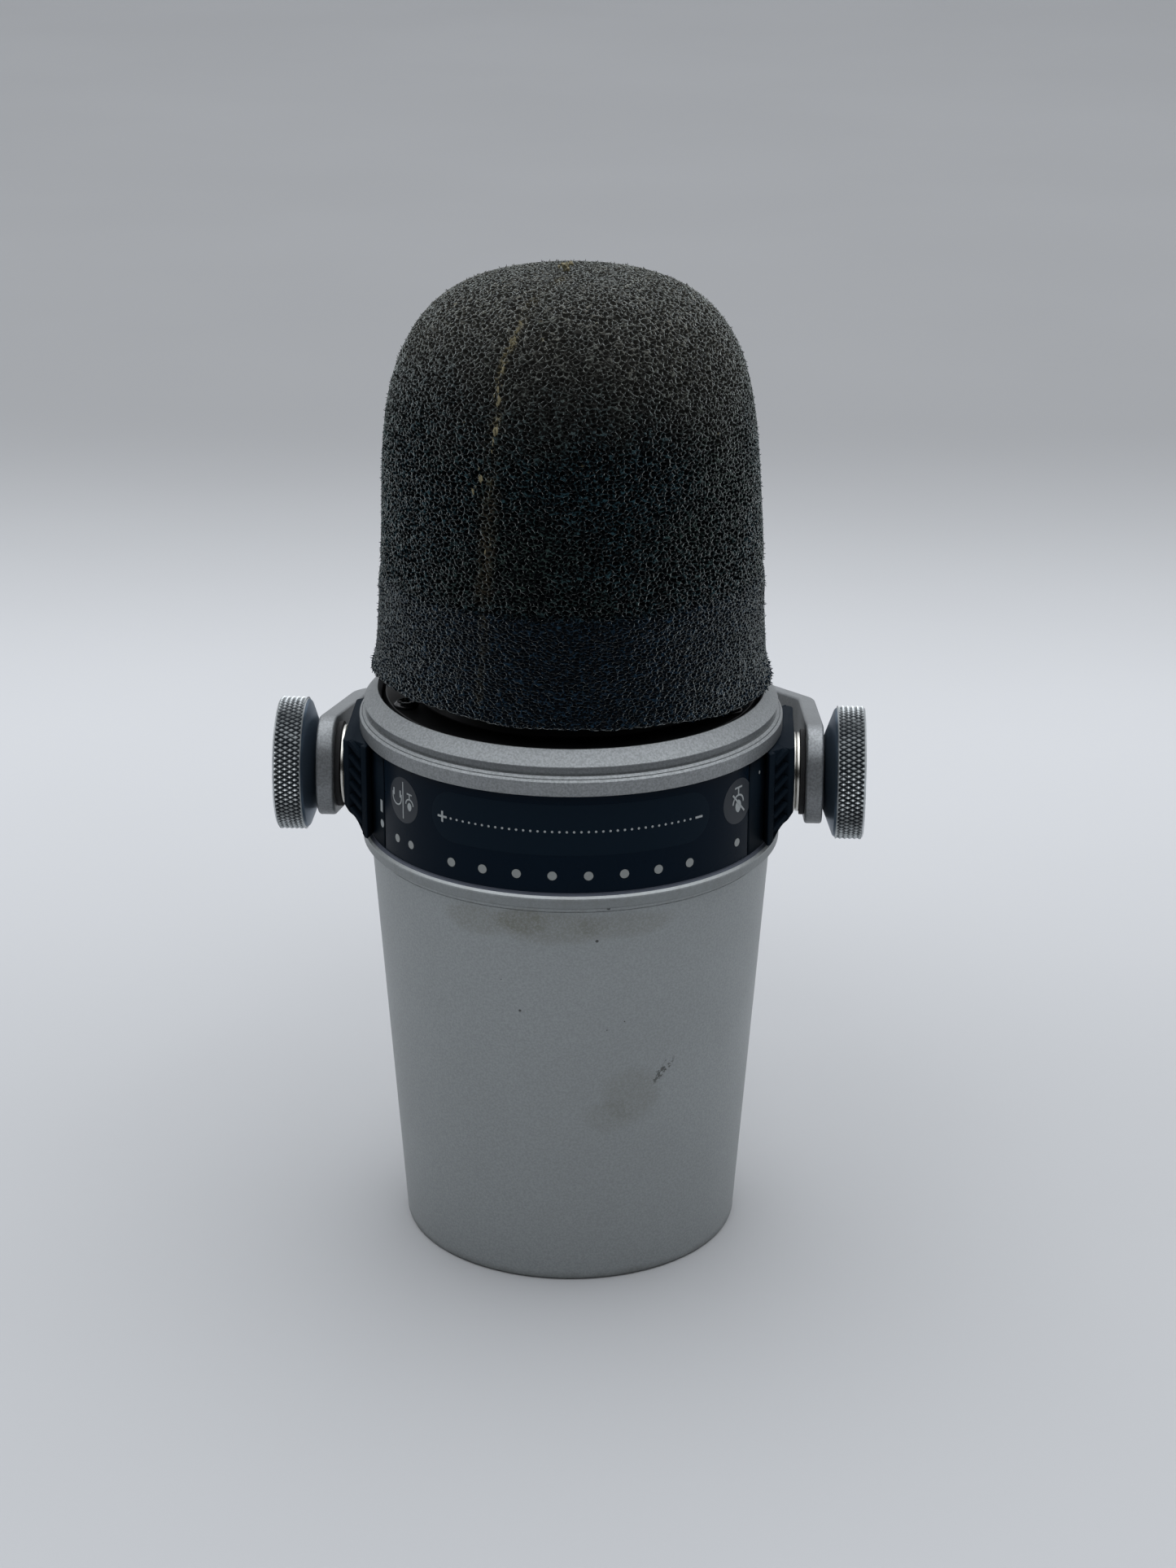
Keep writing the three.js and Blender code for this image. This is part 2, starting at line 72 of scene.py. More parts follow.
class Value:
    # A socket, so that maths on it adds the nodes.
    def __init__(self, graph, socket):
        self.graph = graph
        self.socket = socket

    def __add__(self, other):
        return self.graph.math("ADD", self, other)

    def __sub__(self, other):
        return self.graph.math("SUBTRACT", self, other)

    def __rsub__(self, other):
        return self.graph.math("SUBTRACT", other, self)

    def __mul__(self, other):
        return self.graph.math("MULTIPLY", self, other)

    __radd__ = __add__
    __rmul__ = __mul__


class Graph:
    # Adds nodes to a shader tree or a geometry tree.
    def __init__(self, tree):
        self.tree = tree

    def node(self, kind, settings=None, sockets=None, output=0):
        made = self.tree.nodes.new(kind)
        for name, value in (settings or {}).items():
            if name == "stops":
                ramp = made.color_ramp
                while len(ramp.elements) < len(value):
                    ramp.elements.new(1)
                for element, (place, colour) in zip(ramp.elements, value):
                    element.position = place
                    element.color = (*colour, 1) if len(colour) == 3 else colour
            else:
                setattr(made, name, value)
        for name, value in (sockets or {}).items():
            if isinstance(value, Value):
                self.tree.links.new(value.socket, made.inputs[name])
            else:
                made.inputs[name].default_value = value
        return Value(self, made.outputs[output])

    def math(self, operation, a, b=0.0, clamp=False):
        return self.node("ShaderNodeMath", {"operation": operation, "use_clamp": clamp}, {0: a, 1: b})

    def vector(self, operation, a, b=(0, 0, 0)):
        return self.node("ShaderNodeVectorMath", {"operation": operation}, {0: a, 1: b})

    def scaled(self, a, factor):
        settings = {"operation": "SCALE"}
        return self.node("ShaderNodeVectorMath", settings, {0: a, "Scale": factor})

    def parts(self, vector):
        split = self.node("ShaderNodeSeparateXYZ", sockets={0: vector})
        return [Value(self, socket) for socket in split.socket.node.outputs]

    def mix(self, factor, a, b):
        # Colours, as tuples or values.
        a, b = [(*c, 1) if isinstance(c, tuple) and len(c) == 3 else c for c in (a, b)]
        return self.node("ShaderNodeMix", {"data_type": "RGBA"}, {0: factor, 6: a, 7: b}, output=2)

    def ease(self, value, low, high, start=0.0, end=1.0):
        # Goes smoothly from start to end as the value goes from low to high.
        limits = {0: value, 1: low, 2: high, 3: start, 4: end}
        return self.node("ShaderNodeMapRange", {"interpolation_type": "SMOOTHSTEP"}, limits)

    def noise(self, vector, scale, detail=2.0, roughness=0.5, output=0):
        wanted = {"Vector": vector, "Scale": scale, "Detail": detail, "Roughness": roughness}
        return self.node("ShaderNodeTexNoise", sockets=wanted, output=output)


def newMaterial(name, build):
    # build takes the graph and the place in metres, and returns the shader's socket values.
    material = bpy.data.materials.new(name)
    material.use_nodes = True
    tree = material.node_tree
    graph = Graph(tree)
    shader = tree.nodes["Principled BSDF"]
    place = graph.node("ShaderNodeTexCoord", output=3)
    for socket, value in build(graph, place).items():
        if isinstance(value, Value):
            tree.links.new(value.socket, shader.inputs[socket])
        else:
            shader.inputs[socket].default_value = (*value, 1) if isinstance(value, tuple) else value
    return material


def attribute(graph, name, output="Fac"):
    # A value stored on the mesh, for a shader.
    return graph.node("ShaderNodeAttribute", {"attribute_name": name}, output=output)


def stored(graph, name, kind):
    # A value stored on the mesh, for a geometry tree.
    return graph.node("GeometryNodeInputNamedAttribute", {"data_type": kind}, {"Name": name})


def bump(graph, height, distance, strength=1.0):
    return graph.node("ShaderNodeBump", sockets={"Height": height, "Distance": distance,
                                                 "Strength": strength})


def linked(name, data):
    # A new object in the scene.
    obj = bpy.data.objects.new(name, data)
    bpy.context.scene.collection.objects.link(obj)
    return obj


def softShaded(mesh, sharpAngle=35):
    mesh.shade_smooth()
    mesh.set_sharp_from_angle(angle=math.radians(sharpAngle))


def facedOut(obj):
    work = bmesh.new()
    work.from_mesh(obj.data)
    bmesh.ops.recalc_face_normals(work, faces=work.faces)
    work.to_mesh(obj.data)
    work.free()


def addMesh(name, points, faces, pose=None, sharpAngle=35):
    # points are in millimetres from the microphone's axis, before the pose.
    points = np.asarray(points, float).reshape(-1, 3)
    if pose is not None:
        turn = np.array(pose)
        points = points @ turn[:3, :3].T + turn[:3, 3]
    points = points * mm + np.array((0, axisY, 0))
    mesh = bpy.data.meshes.new(name)
    mesh.from_pydata(points.tolist(), [], faces)
    tidyMesh(mesh)
    softShaded(mesh, sharpAngle)
    return linked(name, mesh)


def tidyMesh(mesh, distance=1e-7):
    work = bmesh.new()
    work.from_mesh(mesh)
    bmesh.ops.remove_doubles(work, verts=work.verts, dist=distance)
    bmesh.ops.dissolve_degenerate(work, edges=work.edges, dist=distance)
    work.to_mesh(mesh)
    work.free()


def applied(obj):
    # Turns what the modifiers make into the object's own plain mesh.
    graph = bpy.context.evaluated_depsgraph_get()
    shape = obj.evaluated_get(graph)
    mesh = bpy.data.meshes.new_from_object(shape, preserve_all_data_layers=True, depsgraph=graph)
    obj.modifiers.clear()
    obj.data = mesh
    return obj


def rounded(outline, closed=True, steps=4, guard=0.04):
    # Each corner is (a, b) or (a, b, radius); a radius makes it an arc, with a short guard on each side
    # that keeps the flats' shading flat.
    made = []
    for i, corner in enumerate(outline):
        here = Vector(corner[:2])
        atEnd = not closed and i in (0, len(outline) - 1)
        if len(corner) < 3 or atEnd:
            made.append(here)
            continue
        back = Vector(outline[i - 1][:2]) - here
        onward = Vector(outline[(i + 1) % len(outline)][:2]) - here
        half = back.angle(onward) / 2
        reach = min(corner[2] / math.tan(half), 0.45 * back.length, 0.45 * onward.length)
        radius = reach * math.tan(half)
        back.normalize()
        onward.normalize()
        centre = here + (back + onward).normalized() * (radius / math.sin(half))
        start, end = here + back * reach, here + onward * reach
        first = math.atan2(*reversed(start - centre))
        sweep = (math.atan2(*reversed(end - centre)) - first + math.pi) % (2 * math.pi) - math.pi
        made.append(start + back * guard)
        for step in range(steps + 1):
            angle = first + sweep * step / steps
            made.append(centre + radius * Vector((math.cos(angle), math.sin(angle))))
        made.append(end + onward * guard)
    return made


def turned(name, outline, around=160, pose=None, steps=4, sharpAngle=35):
    # Turns an anticlockwise outline of (radius, z) corners about Z. It closes on itself or on the axis.
    onAxis = outline[0][0] == 0
    loop = rounded(outline, closed=not onAxis, steps=steps)
    count = len(loop)
    angles = np.linspace(0, 2 * math.pi, around, endpoint=False)
    radii, heights = np.array([p.x for p in loop]), np.array([p.y for p in loop])
    points = np.stack([np.outer(np.cos(angles), radii), np.outer(np.sin(angles), radii),
                       np.tile(heights, (around, 1))], axis=2)
    rows = count - 1 if onAxis else count
    faces = []
    for i in range(around):
        here, there = i * count, (i + 1) % around * count
        for j in range(rows):
            up = (j + 1) % count
            faces.append((here + j, there + j, there + up, here + up))
    return addMesh(name, points, faces, pose, sharpAngle)


def extruded(name, outline, low, high, pose=None, bevel=0.0, sharpAngle=35):
    # A flat outline, anticlockwise in X and Y, pulled up from low to high.
    count = len(outline)
    points = [(x, y, z) for z in (low, high) for x, y in outline]
    faces = [tuple(reversed(range(count))), tuple(range(count, 2 * count))]
    faces += [(i, (i + 1) % count, (i + 1) % count + count, i + count) for i in range(count)]
    obj = addMesh(name, points, faces, pose, sharpAngle)
    if bevel:
        addBevel(obj, bevel)
    return obj


def addBevel(obj, width, segments=3, angle=40, harden=True):
    modifier = obj.modifiers.new("bevel", "BEVEL")
    modifier.width = width * mm
    modifier.segments = segments
    modifier.limit_method = "ANGLE"
    modifier.angle_limit = math.radians(angle)
    modifier.harden_normals = harden
    return applied(obj)


def combined(obj, other, operation):
    modifier = obj.modifiers.new("cut", "BOOLEAN")
    modifier.operation = operation
    modifier.solver = "EXACT"
    modifier.object = other
    applied(obj)
    bpy.data.objects.remove(other)
    return obj


def joined(name, objs):
    # Several loose shells as one object.
    work = bmesh.new()
    for obj in objs:
        work.from_mesh(obj.data)
        bpy.data.objects.remove(obj)
    mesh = bpy.data.meshes.new(name)
    work.to_mesh(mesh)
    work.free()
    softShaded(mesh)
    return linked(name, mesh)


def finished(obj, body, material, slot, *nodes):
    obj.data.materials.clear()
    obj.data.materials.append(material)
    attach(obj, body)
    if nodes:
        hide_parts(*nodes)
    return obj


def arc(radius, start, end, steps, centre=(0, 0)):
    # Points on an arc, with the angles in degrees.
    angles = [math.radians(start + (end - start) * i / steps) for i in range(steps + 1)]
    return [(centre[0] + radius * math.cos(a), centre[1] + radius * math.sin(a)) for a in angles]


camera = {"at": (21.62, -452.61, 244.28), "look": (-0.0392, 0.9342, -0.3547), "roll": 0.0035,
          "lens": 71.79}
light = {
    "sky": (0.93, 0.96, 1.0), "front": 0.02, "behind": 0.8, "above": 1.75,
    "floor": (0.46, 0.466, 0.478), "farShadowShare": 0.52, "nearShadowShare": 0.855, "farFrom": 0.215, "farTo": 0.53,
    "backHeight": 0.35, "backAway": 2.2, "frontAway": 2.0, "halfWidth": 3.0, "bend": 0.3,
    "ceiling": 6, "ceilingAt": (0.05, 0.35, 1.45), "ceilingSize": (1.7, 1.2),
}


def makeCamera():
    data = bpy.data.cameras.new("camera")
    data.lens = camera["lens"]
    data.sensor_width = 36
    obj = linked("camera", data)
    look = Vector(camera["look"]).normalized()
    turn = look.to_track_quat("-Z", "Y").to_matrix().to_4x4()
    place = Vector(camera["at"]) * mm + Vector((0, axisY, 0))
    obj.matrix_world = Matrix.Translation(place) @ turn @ Matrix.Rotation(camera["roll"], 4, "Z")
    bpy.context.scene.camera = obj


def areaLight(name, place, target, size, power):
    data = bpy.data.lights.new(name, "AREA")
    data.shape = "RECTANGLE"
    data.size, data.size_y = size
    data.energy = power
    away = Vector(target) - Vector(place)
    turn = away.to_track_quat("-Z", "Y").to_matrix().to_4x4()
    linked(name, data).matrix_world = Matrix.Translation(place) @ turn


def sweepShade(g, place):
    # Painted shade on the floor: brightest just behind the stand, darker in front of it and well behind.
    away = g.parts(place)[1] - axisY
    # Painted soft shade well behind the stand.
    share = g.ease(away, light["farFrom"], light["farTo"], 1.0, light["farShadowShare"])
    # Painted shadow over the floor in front of the stand.
    share = share * g.ease(away, 0.0, 0.22, light["nearShadowShare"], 1.0)
    share = share * g.ease(g.noise(place, 5, 3), 0.3, 0.7, 0.97, 1.0)
    return {"Base Color": g.mix(share, (0, 0, 0), light["floor"]), "Roughness": 0.75,
            "Specular IOR Level": 0.2}


def makeStage():
    # A pale sweep: the floor bends up into a wall behind.
    width, bend, away = light["halfWidth"], light["bend"], light["backAway"]
    side = [(-light["frontAway"], 0.0), (away, 0.0)]
    side += [(away + bend * math.sin(a), bend - bend * math.cos(a))
             for a in (math.pi / 2 * i / 16 for i in range(1, 17))]
    side.append((away + bend, light["backHeight"]))
    points = [(x, y, z) for y, z in side for x in (-width, width)]
    faces = [(2 * i, 2 * i + 1, 2 * i + 3, 2 * i + 2) for i in range(len(side) - 1)]
    mesh = bpy.data.meshes.new("sweep")
    mesh.from_pydata(points, [], faces)
    mesh.shade_smooth()
    mesh.materials.append(newMaterial("sweep", sweepShade))
    linked("sweep", mesh)

    world = bpy.data.worlds.new("soft sky")
    bpy.context.scene.world = world
    world.use_nodes = True
    g = Graph(world.node_tree)
    _, ahead, up = g.parts(g.node("ShaderNodeTexCoord"))
    strength = g.ease(ahead, -0.5, 0.9, light["front"], light["behind"])
    strength = strength + g.ease(up, 0.4, 0.85, 0.0, light["above"])
    background = world.node_tree.nodes["Background"]
    background.inputs["Color"].default_value = (*light["sky"], 1)
    world.node_tree.links.new(strength.socket, background.inputs["Strength"])
    areaLight("ceiling", light["ceilingAt"], (0, 0, 0), light["ceilingSize"], light["ceiling"])
    bpy.context.scene.view_settings.view_transform = "Standard"


makeCamera()
makeStage()
print("camera and stage made")


silver = {"head": (0.240, 0.253, 0.259), "yoke": (0.196, 0.206, 0.213), "tail": (0.303, 0.323, 0.326),
          "metal": 0.62, "rough": 0.42,
          "grain": 3100, "grainDepth": 0.035}


def silverPaint(name, base, speckle, marked=None):
    # Bead-blasted silver paint; marked adds the stains and specks of a used one.
    def build(g, place):
        grain = g.noise(place, silver["grain"], 2, 0.6)
        cloud = g.noise(place, 45, 3)
        colour = g.mix(g.ease(grain, 0.3, 0.7), tuple(c * (1 - speckle) for c in silver[base]),
                       tuple(c * (1 + speckle) for c in silver[base]))
        colour = g.mix(g.ease(cloud, 0.35, 0.75) * 0.12, colour, (0.26, 0.27, 0.27))
        rough = g.ease(cloud, 0.3, 0.7, silver["rough"] - 0.03, silver["rough"] + 0.05)
        if marked:
            colour, rough = marked(g, place, colour, rough)
        return {"Base Color": colour, "Metallic": silver["metal"], "Roughness": rough,
                "Normal": bump(g, grain, silver["grainDepth"] * mm, 0.6)}
    return newMaterial(name, build)


def patch(g, place, centre, size, ragged=0.35, scale=260):
    # A soft-edged blot round a point in millimetres, with a ragged outline.
    away = g.vector("SUBTRACT", place, tuple(c * mm for c in centre))
    away = g.vector("DIVIDE", away, tuple(s * mm for s in size))
    reach = g.node("ShaderNodeVectorMath", {"operation": "LENGTH"}, {0: away}, output=1)
    frayed = reach + (g.noise(place, scale, 4, 0.7) - 0.5) * (2 * ragged)
    return g.ease(frayed, 0.55, 1.0, 1.0, 0.0)


wear = {
    "stain": (0.176, 0.177, 0.147), "soot": (0.05, 0.05, 0.045),
    "blots": [((-6, -30, 62.2), (5, 9, 2.6), 0.6), ((-1, -31, 61.2), (10, 12, 3.4), 0.48),
              ((-12, -28, 61.4), (7, 9, 3.0), 0.44), ((9, -29, 61.4), (9, 10, 2.6), 0.40),
              ((10.5, -27, 32.5), (5.5, 9, 5.5), 0.34), ((7, -28, 29), (4, 7, 3.5), 0.25)],
    "specks": [(-6.2, -29.1, 47.1, 0.26), (5.3, -30.1, 59.1, 0.30), (7.0, -30.2, 64.4, 0.34),
               (-9.0, -27.6, 52.0, 0.13), (9.4, -28.4, 45.2, 0.14), (6.8, -29.0, 44.0, 0.12)],
    "scrape": (15.2, -24.7, 35.7), "scrapeSize": (2.8, 6, 0.9), "scrapeLean": 52,
}


def shellMarks(g, place, colour, rough):
    # The used shell: soft handling stains, dark specks, a small scrape, a darker foot; painted lip shade and
    # highlight.
    def lifted(spot):
        return spot[0], spot[1] + axisY / mm, spot[2]

    speckled = g.ease(g.noise(place, 2600, 3, 0.75), 0.36, 0.62, 0.3, 1.0)
    for centre, size, strength in wear["blots"]:
        blot = patch(g, place, lifted(centre), size, 0.30, 150)
        colour = g.mix(blot * speckled * strength, colour, wear["stain"])
    for x, y, z, size in wear["specks"]:
        dot = patch(g, place, lifted((x, y, z)), (size, 3, size), 0.2, 3000)
        colour = g.mix(dot * 0.85, colour, (0.03, 0.03, 0.03))
    spot = tuple(c * mm for c in lifted(wear["scrape"]))
    local = g.node("ShaderNodeVectorRotate", {"rotation_type": "Y_AXIS"}, {
        "Vector": place, "Center": spot, "Angle": math.radians(wear["scrapeLean"])})
    scrape = patch(g, local, lifted(wear["scrape"]), wear["scrapeSize"], 0.5, 500)
    grit = g.ease(g.noise(place, 1300, 3, 0.7), 0.46, 0.56)
    colour = g.mix(scrape * grit * 0.75, colour, wear["soot"])
    height = g.parts(place)[2]
    # Paint darker and rougher towards the bottom edge.
    footBand = g.ease(height + g.noise(place, 120, 4, 0.7) * (2 * mm), 1.0 * mm, 2.6 * mm, 1.0, 0.0)
    colour = g.mix(footBand * 0.45, colour, (0.10, 0.10, 0.09))
    lip = g.ease(height, 63.6 * mm, 64.2 * mm) * g.ease(g.noise(place, 500, 4, 0.7), 0.5, 0.66)
    colour = g.mix(lip * 0.3, colour, (0.20, 0.20, 0.18))
    # Painted shade: the lip's outer face is painted darker than the cup.
    rim = g.ease(height, 64.2 * mm, 64.8 * mm, 0.0, 0.5) * g.ease(height, 66.2 * mm, 66.5 * mm, 1.0, 0.0)
    colour = g.mix(rim, colour, (0.150, 0.163, 0.166))
    # Painted highlight: a pale line along the lip's top edge.
    colour = g.mix(g.ease(height, 66.5 * mm, 66.6 * mm) * 0.25, colour, (0.62, 0.64, 0.64))
    scuffs = g.noise(g.vector("MULTIPLY", place, (1, 1, 0.16)), 420, 4, 0.75)
    colour = g.mix(g.ease(scuffs, 0.68, 0.76) * 0.10, colour, (0.55, 0.56, 0.56))
    return colour, g.math("ADD", rough, footBand * 0.1)


def grooveShade(g, place, colour, rough):
    # Painted shade in the ring's groove, together with dirt.
    height = g.parts(place)[2]
    inside = g.ease(height, 85.5 * mm, 85.7 * mm) * g.ease(height, 86.5 * mm, 86.7 * mm, 1.0, 0.0)
    return g.mix(inside * 0.35, colour, (0.085, 0.095, 0.100)), rough


def knurled(g, place):
    # Bright tips over grooves painted dark, as shade; the cone behind them is painted dark blue, as a dark
    # reflection.
    cut, cone = attribute(g, "cut"), attribute(g, "cone")
    fine = g.noise(place, 5000, 3, 0.6)
    # Painted shade in the grooves, with an uneven edge.
    shadeWobble = (g.noise(place, 700, 3, 0.7) - 0.5) * 0.7
    colour = g.mix(g.ease(cut + shadeWobble, 0.12, 0.85), (0.58, 0.61, 0.62), (0.030, 0.036, 0.042))
    # Painted reflection: the smooth cone is dark blue, as the dark surroundings it reflects.
    colour = g.mix(cone, colour, g.mix(fine, (0.090, 0.132, 0.182), (0.120, 0.166, 0.222)))
    return {"Base Color": colour, "Metallic": 0.85, "Roughness": g.ease(cut, 0.0, 0.8, 0.30, 0.6),
            "Normal": bump(g, fine, 0.01 * mm, 0.5)}


def plain(name, dark, pale, roughness, metallic=0.0, grain=3000, depth=0.01, extra=None):
    # A finish with fine grain between two tones and a slow change of gloss.
    def build(g, place):
        fine = g.noise(place, grain, 3, 0.6)
        slow = g.noise(place, 90, 3)
        sockets = {
            "Base Color": g.mix(fine, dark, pale), "Metallic": metallic,
            "Roughness": g.ease(slow, 0.3, 0.7, roughness * 0.9, min(1, roughness * 1.12)),
            "Normal": bump(g, fine, depth * mm, 0.5),
        }
        return {**sockets, **(extra or {})}
    return newMaterial(name, build)


finishes = {
    "tailPaint": silverPaint("tail paint", "tail", 0.09, shellMarks),
    "headPaint": silverPaint("head paint", "head", 0.2, grooveShade),
    "yokePaint": silverPaint("yoke paint", "yoke", 0.2),
    "blackPlastic": plain("black plastic", (0.0028, 0.0062, 0.0108), (0.0055, 0.0105, 0.0165), 0.6,
                          extra={"Specular IOR Level": 0.04}),
    "touchPanel": plain("touch panel", (0.0004, 0.0046, 0.0112), (0.0010, 0.0062, 0.0136), 0.26, depth=0.002,
                        extra={"Specular IOR Level": 0.055}),
    "touchZone": plain("touch zone", (0.0022, 0.0080, 0.0155), (0.0034, 0.0097, 0.0176), 0.30, depth=0.003,
                       extra={"Specular IOR Level": 0.055}),
    "iconDisc": plain("icon disc", (0.022, 0.027, 0.034), (0.026, 0.031, 0.038), 0.4, depth=0.003,
                      extra={"Specular IOR Level": 0.2}),
    "print": plain("pale print", (0.30, 0.33, 0.335), (0.36, 0.38, 0.385), 0.5, depth=0.002),
    "ledWindow": plain("light window", (0.22, 0.235, 0.23), (0.27, 0.285, 0.28), 0.4, depth=0.002),
    "darkMetal": plain("dark metal", (0.05, 0.053, 0.056), (0.075, 0.08, 0.084), 0.42, 0.7),
    "seat": plain("seat ring", (0.075, 0.086, 0.112), (0.100, 0.112, 0.140), 0.5, 0.3),
    "steel": plain("bright steel", (0.50, 0.49, 0.45), (0.62, 0.61, 0.57), 0.26, 1.0, 1500, 0.006),
    "screwSteel": plain("dark screw", (0.20, 0.20, 0.21), (0.32, 0.32, 0.33), 0.3, 1.0, 1500, 0.006),
    "brass": plain("turned brass", (0.50, 0.37, 0.16), (0.60, 0.45, 0.2), 0.3, 1.0),
    "rubber": plain("matt rubber", (0.012, 0.012, 0.013), (0.022, 0.022, 0.023), 0.85),
    "board": plain("circuit board", (0.012, 0.07, 0.03), (0.02, 0.11, 0.05), 0.45, grain=900),
    "clear": plain("frosted clear", (0.55, 0.57, 0.6), (0.65, 0.67, 0.7), 0.35),
    "grille": plain("grille metal", (0.016, 0.016, 0.017), (0.03, 0.03, 0.032), 0.45, 0.6),
    "recess": plain("recess black", (0.003, 0.003, 0.004), (0.006, 0.006, 0.008), 0.36,
                    extra={"Specular IOR Level": 0.3}),
    "knob": newMaterial("knurled metal", knurled),
    "blackSteel": plain("black screw", (0.010, 0.010, 0.011), (0.016, 0.016, 0.018), 0.13, 0.2),
    "glue": plain("old glue", (0.13, 0.115, 0.062), (0.27, 0.235, 0.135), 0.7, grain=1500),
    "liner": plain("liner foam", (0.006, 0.006, 0.007), (0.014, 0.014, 0.015), 0.95, depth=0.1),
}
print("finishes made")


tail = {"rim": 26.34, "top": 31.0, "height": 64.7, "wall": 2.0, "lip": 32.26, "lipTop": 66.9,
        "lipInner": 31.9, "seam": 63.9, "panelFloor": 5.0, "panelTop": 7.5, "xlrY": 9.5,
        "xlrOuter": 9.8, "xlrBore": 8.2, "xlrMouth": 4.6, "xlrTop": 23.0,
        "jack": (8, -11), "jackRadius": 4.0, "jackBore": 1.8, "usb": (-8, -11),
        "screws": [(17.5, 3), (-17.5, 3), (0, -20)]}


def makeTail():
    lean = (tail["top"] - tail["rim"]) / tail["height"]

    def outer(z):
        return tail["rim"] + lean * z

    def inner(z):
        return outer(z) - tail["wall"]

    seam, lip, lipTop, lipInner = tail["seam"], tail["lip"], tail["lipTop"], tail["lipInner"]
    shell = turned("tail_body", [
        (inner(0), 0, 0.3), (tail["rim"], 0, 0.6), (outer(seam), seam, 0.05),
        (outer(seam) - 0.05, seam + 0.05), (outer(seam) - 0.05, seam + 0.13),
        (outer(seam) + 0.02, seam + 0.18, 0.05), (tail["top"] + 0.05, tail["height"] - 0.1, 0.15),
        (lip, tail["height"] + 0.25, 0.35), (lip, lipTop - 0.34, 0.04), (lip - 0.3, lipTop, 0.03),
        (lipInner, lipTop - 0.02), (lipInner, lipTop - 0.25), (inner(tail["height"]), lipTop - 0.25, 0.1),
    ], 192)
    finished(shell, "microphone", finishes["tailPaint"], "silver_paint", "tail_shell")

    seat = turned("seat_gasket", [
        (29.9, lipTop - 0.22), (lipInner - 0.04, lipTop - 0.22),
        (lipInner - 0.04, lipTop - 0.06, 0.05), (bandRadius + 0.03, lipTop + 0.08),
        (bandRadius + 0.02, 67.2), (29.9, 67.2),
    ], 160)
    finished(seat, "microphone", finishes["seat"], "dark_metal", "seat_ring")

    floor, top, reach = tail["panelFloor"], tail["panelTop"], inner(tail["panelFloor"]) - 0.05
    panel = turned("connector_panel", [
        (0, floor), (reach - 1.6, floor, 0.2), (reach - 1.4, floor - 0.35, 0.15),
        (reach, floor - 0.35, 0.15), (reach, top), (0, top),
    ], 128)
    holes = [(0, tail["xlrY"], tail["xlrOuter"] + 0.05), (*tail["jack"], tail["jackRadius"] + 0.05)]
    for x, y, radius in holes:
        combined(panel, turned("hole", [(0, 0), (radius, 0), (radius, 12), (0, 12)], 96,
                               Matrix.Translation((x, y, 0))), "DIFFERENCE")
    usbX, usbY = tail["usb"]
    slot = roundedRectangle(7.8, 3.0, 0.5)
    combined(panel, extruded("hole", slot, 0, 12, Matrix.Translation((usbX, usbY, 0))), "DIFFERENCE")
    finished(panel, "microphone", finishes["blackPlastic"], "black_plastic", "tail_panel")

    bore, edge = tail["xlrBore"], tail["xlrOuter"]
    shape = turned("xlr_barrel", [
        (bore, tail["xlrMouth"], 0.25), (edge - 1.0, tail["xlrMouth"], 0.2),
        (edge, tail["xlrMouth"] + 0.35, 0.2), (edge, tail["xlrTop"]), (bore, tail["xlrTop"]),
    ], 96, Matrix.Translation((0, tail["xlrY"], 0)))
    key = extruded("xlr_key", [(-1.0, -0.9), (1.0, -0.9), (1.0, 0.9), (-1.0, 0.9)],
                   tail["xlrMouth"] + 0.6, tail["xlrTop"] - 3,
                   Matrix.Translation((0, tail["xlrY"] - bore + 0.55, 0)), bevel=0.2)
    finished(joined("xlr_socket_shell", [shape, key]), "microphone", finishes["steel"],
             "black_plastic", "xlr_shell")
    bore, edge = tail["jackBore"], tail["jackRadius"]
    jackRing = turned("headphone_socket", [
        (bore, floor - 0.5, 0.25), (3.0, floor - 0.5, 0.2), (edge, floor - 0.1, 0.2),
        (edge, floor + 14), (bore, floor + 14),
    ], 64, Matrix.Translation((*tail["jack"], 0)))
    finished(jackRing, "microphone", finishes["steel"], "bright_steel", "headphone_jack")

    places = [(x, y, floor - 0.1) for x, y in tail["screws"]]
    shape = screwShape(2.3, 1.0, 1.1, 6.5)
    screws = scattered("tail_screws", shape, places, finishes["screwSteel"], True)
    finished(screws, "microphone", finishes["screwSteel"], "bright_steel",
             "tail_screw_1", "tail_screw_2", "tail_screw_3")
    print("tail made")


def roundedRectangle(width, depth, radius, steps=5):
    x, y = width / 2 - radius, depth / 2 - radius
    corners = [(x, -y, -90), (x, y, 0), (-x, y, 90), (-x, -y, 180)]
    return [p for cx, cy, start in corners for p in arc(radius, start, start + 90, steps, (cx, cy))]


def screwShape(head, height, shank, length):
    # A pan head with a six-lobed recess, seat at z 0, as an object at the world's origin.
    outline = [(0, -length), (shank, -length), (shank, 0), (head, 0, 0.12), (head, height * 0.45, 0.3),
               (head * 0.72, height, 0.2), (0, height)]
    screw = turned("screw", outline, 36, toOrigin, steps=3)
    lobes = [((0.42 + 0.08 * math.cos(6 * a)) * head, a) for a in (2 * math.pi * i / 36 for i in range(36))]
    lobes = [(r * math.cos(a), r * math.sin(a)) for r, a in lobes]
    recess = extruded("recess", lobes, height * 0.35, height * 2, toOrigin)
    return combined(screw, recess, "DIFFERENCE")


def geometryTree(name, wanted):
    # wanted holds (label, socket type, default); returns the graph, its inputs by label and the tree.
    tree = bpy.data.node_groups.new(name, "GeometryNodeTree")
    tree.interface.new_socket("Geometry", in_out="INPUT", socket_type="NodeSocketGeometry")
    for label, kind, default in wanted:
        socket = tree.interface.new_socket(label, in_out="INPUT", socket_type=kind)
        if default is not None:
            socket.default_value = default
    tree.interface.new_socket("Geometry", in_out="OUTPUT", socket_type="NodeSocketGeometry")
    graph = Graph(tree)
    entry = tree.nodes.new("NodeGroupInput")
    given = {socket.name: Value(graph, socket) for socket in entry.outputs if socket.name}
    return tree, graph, given


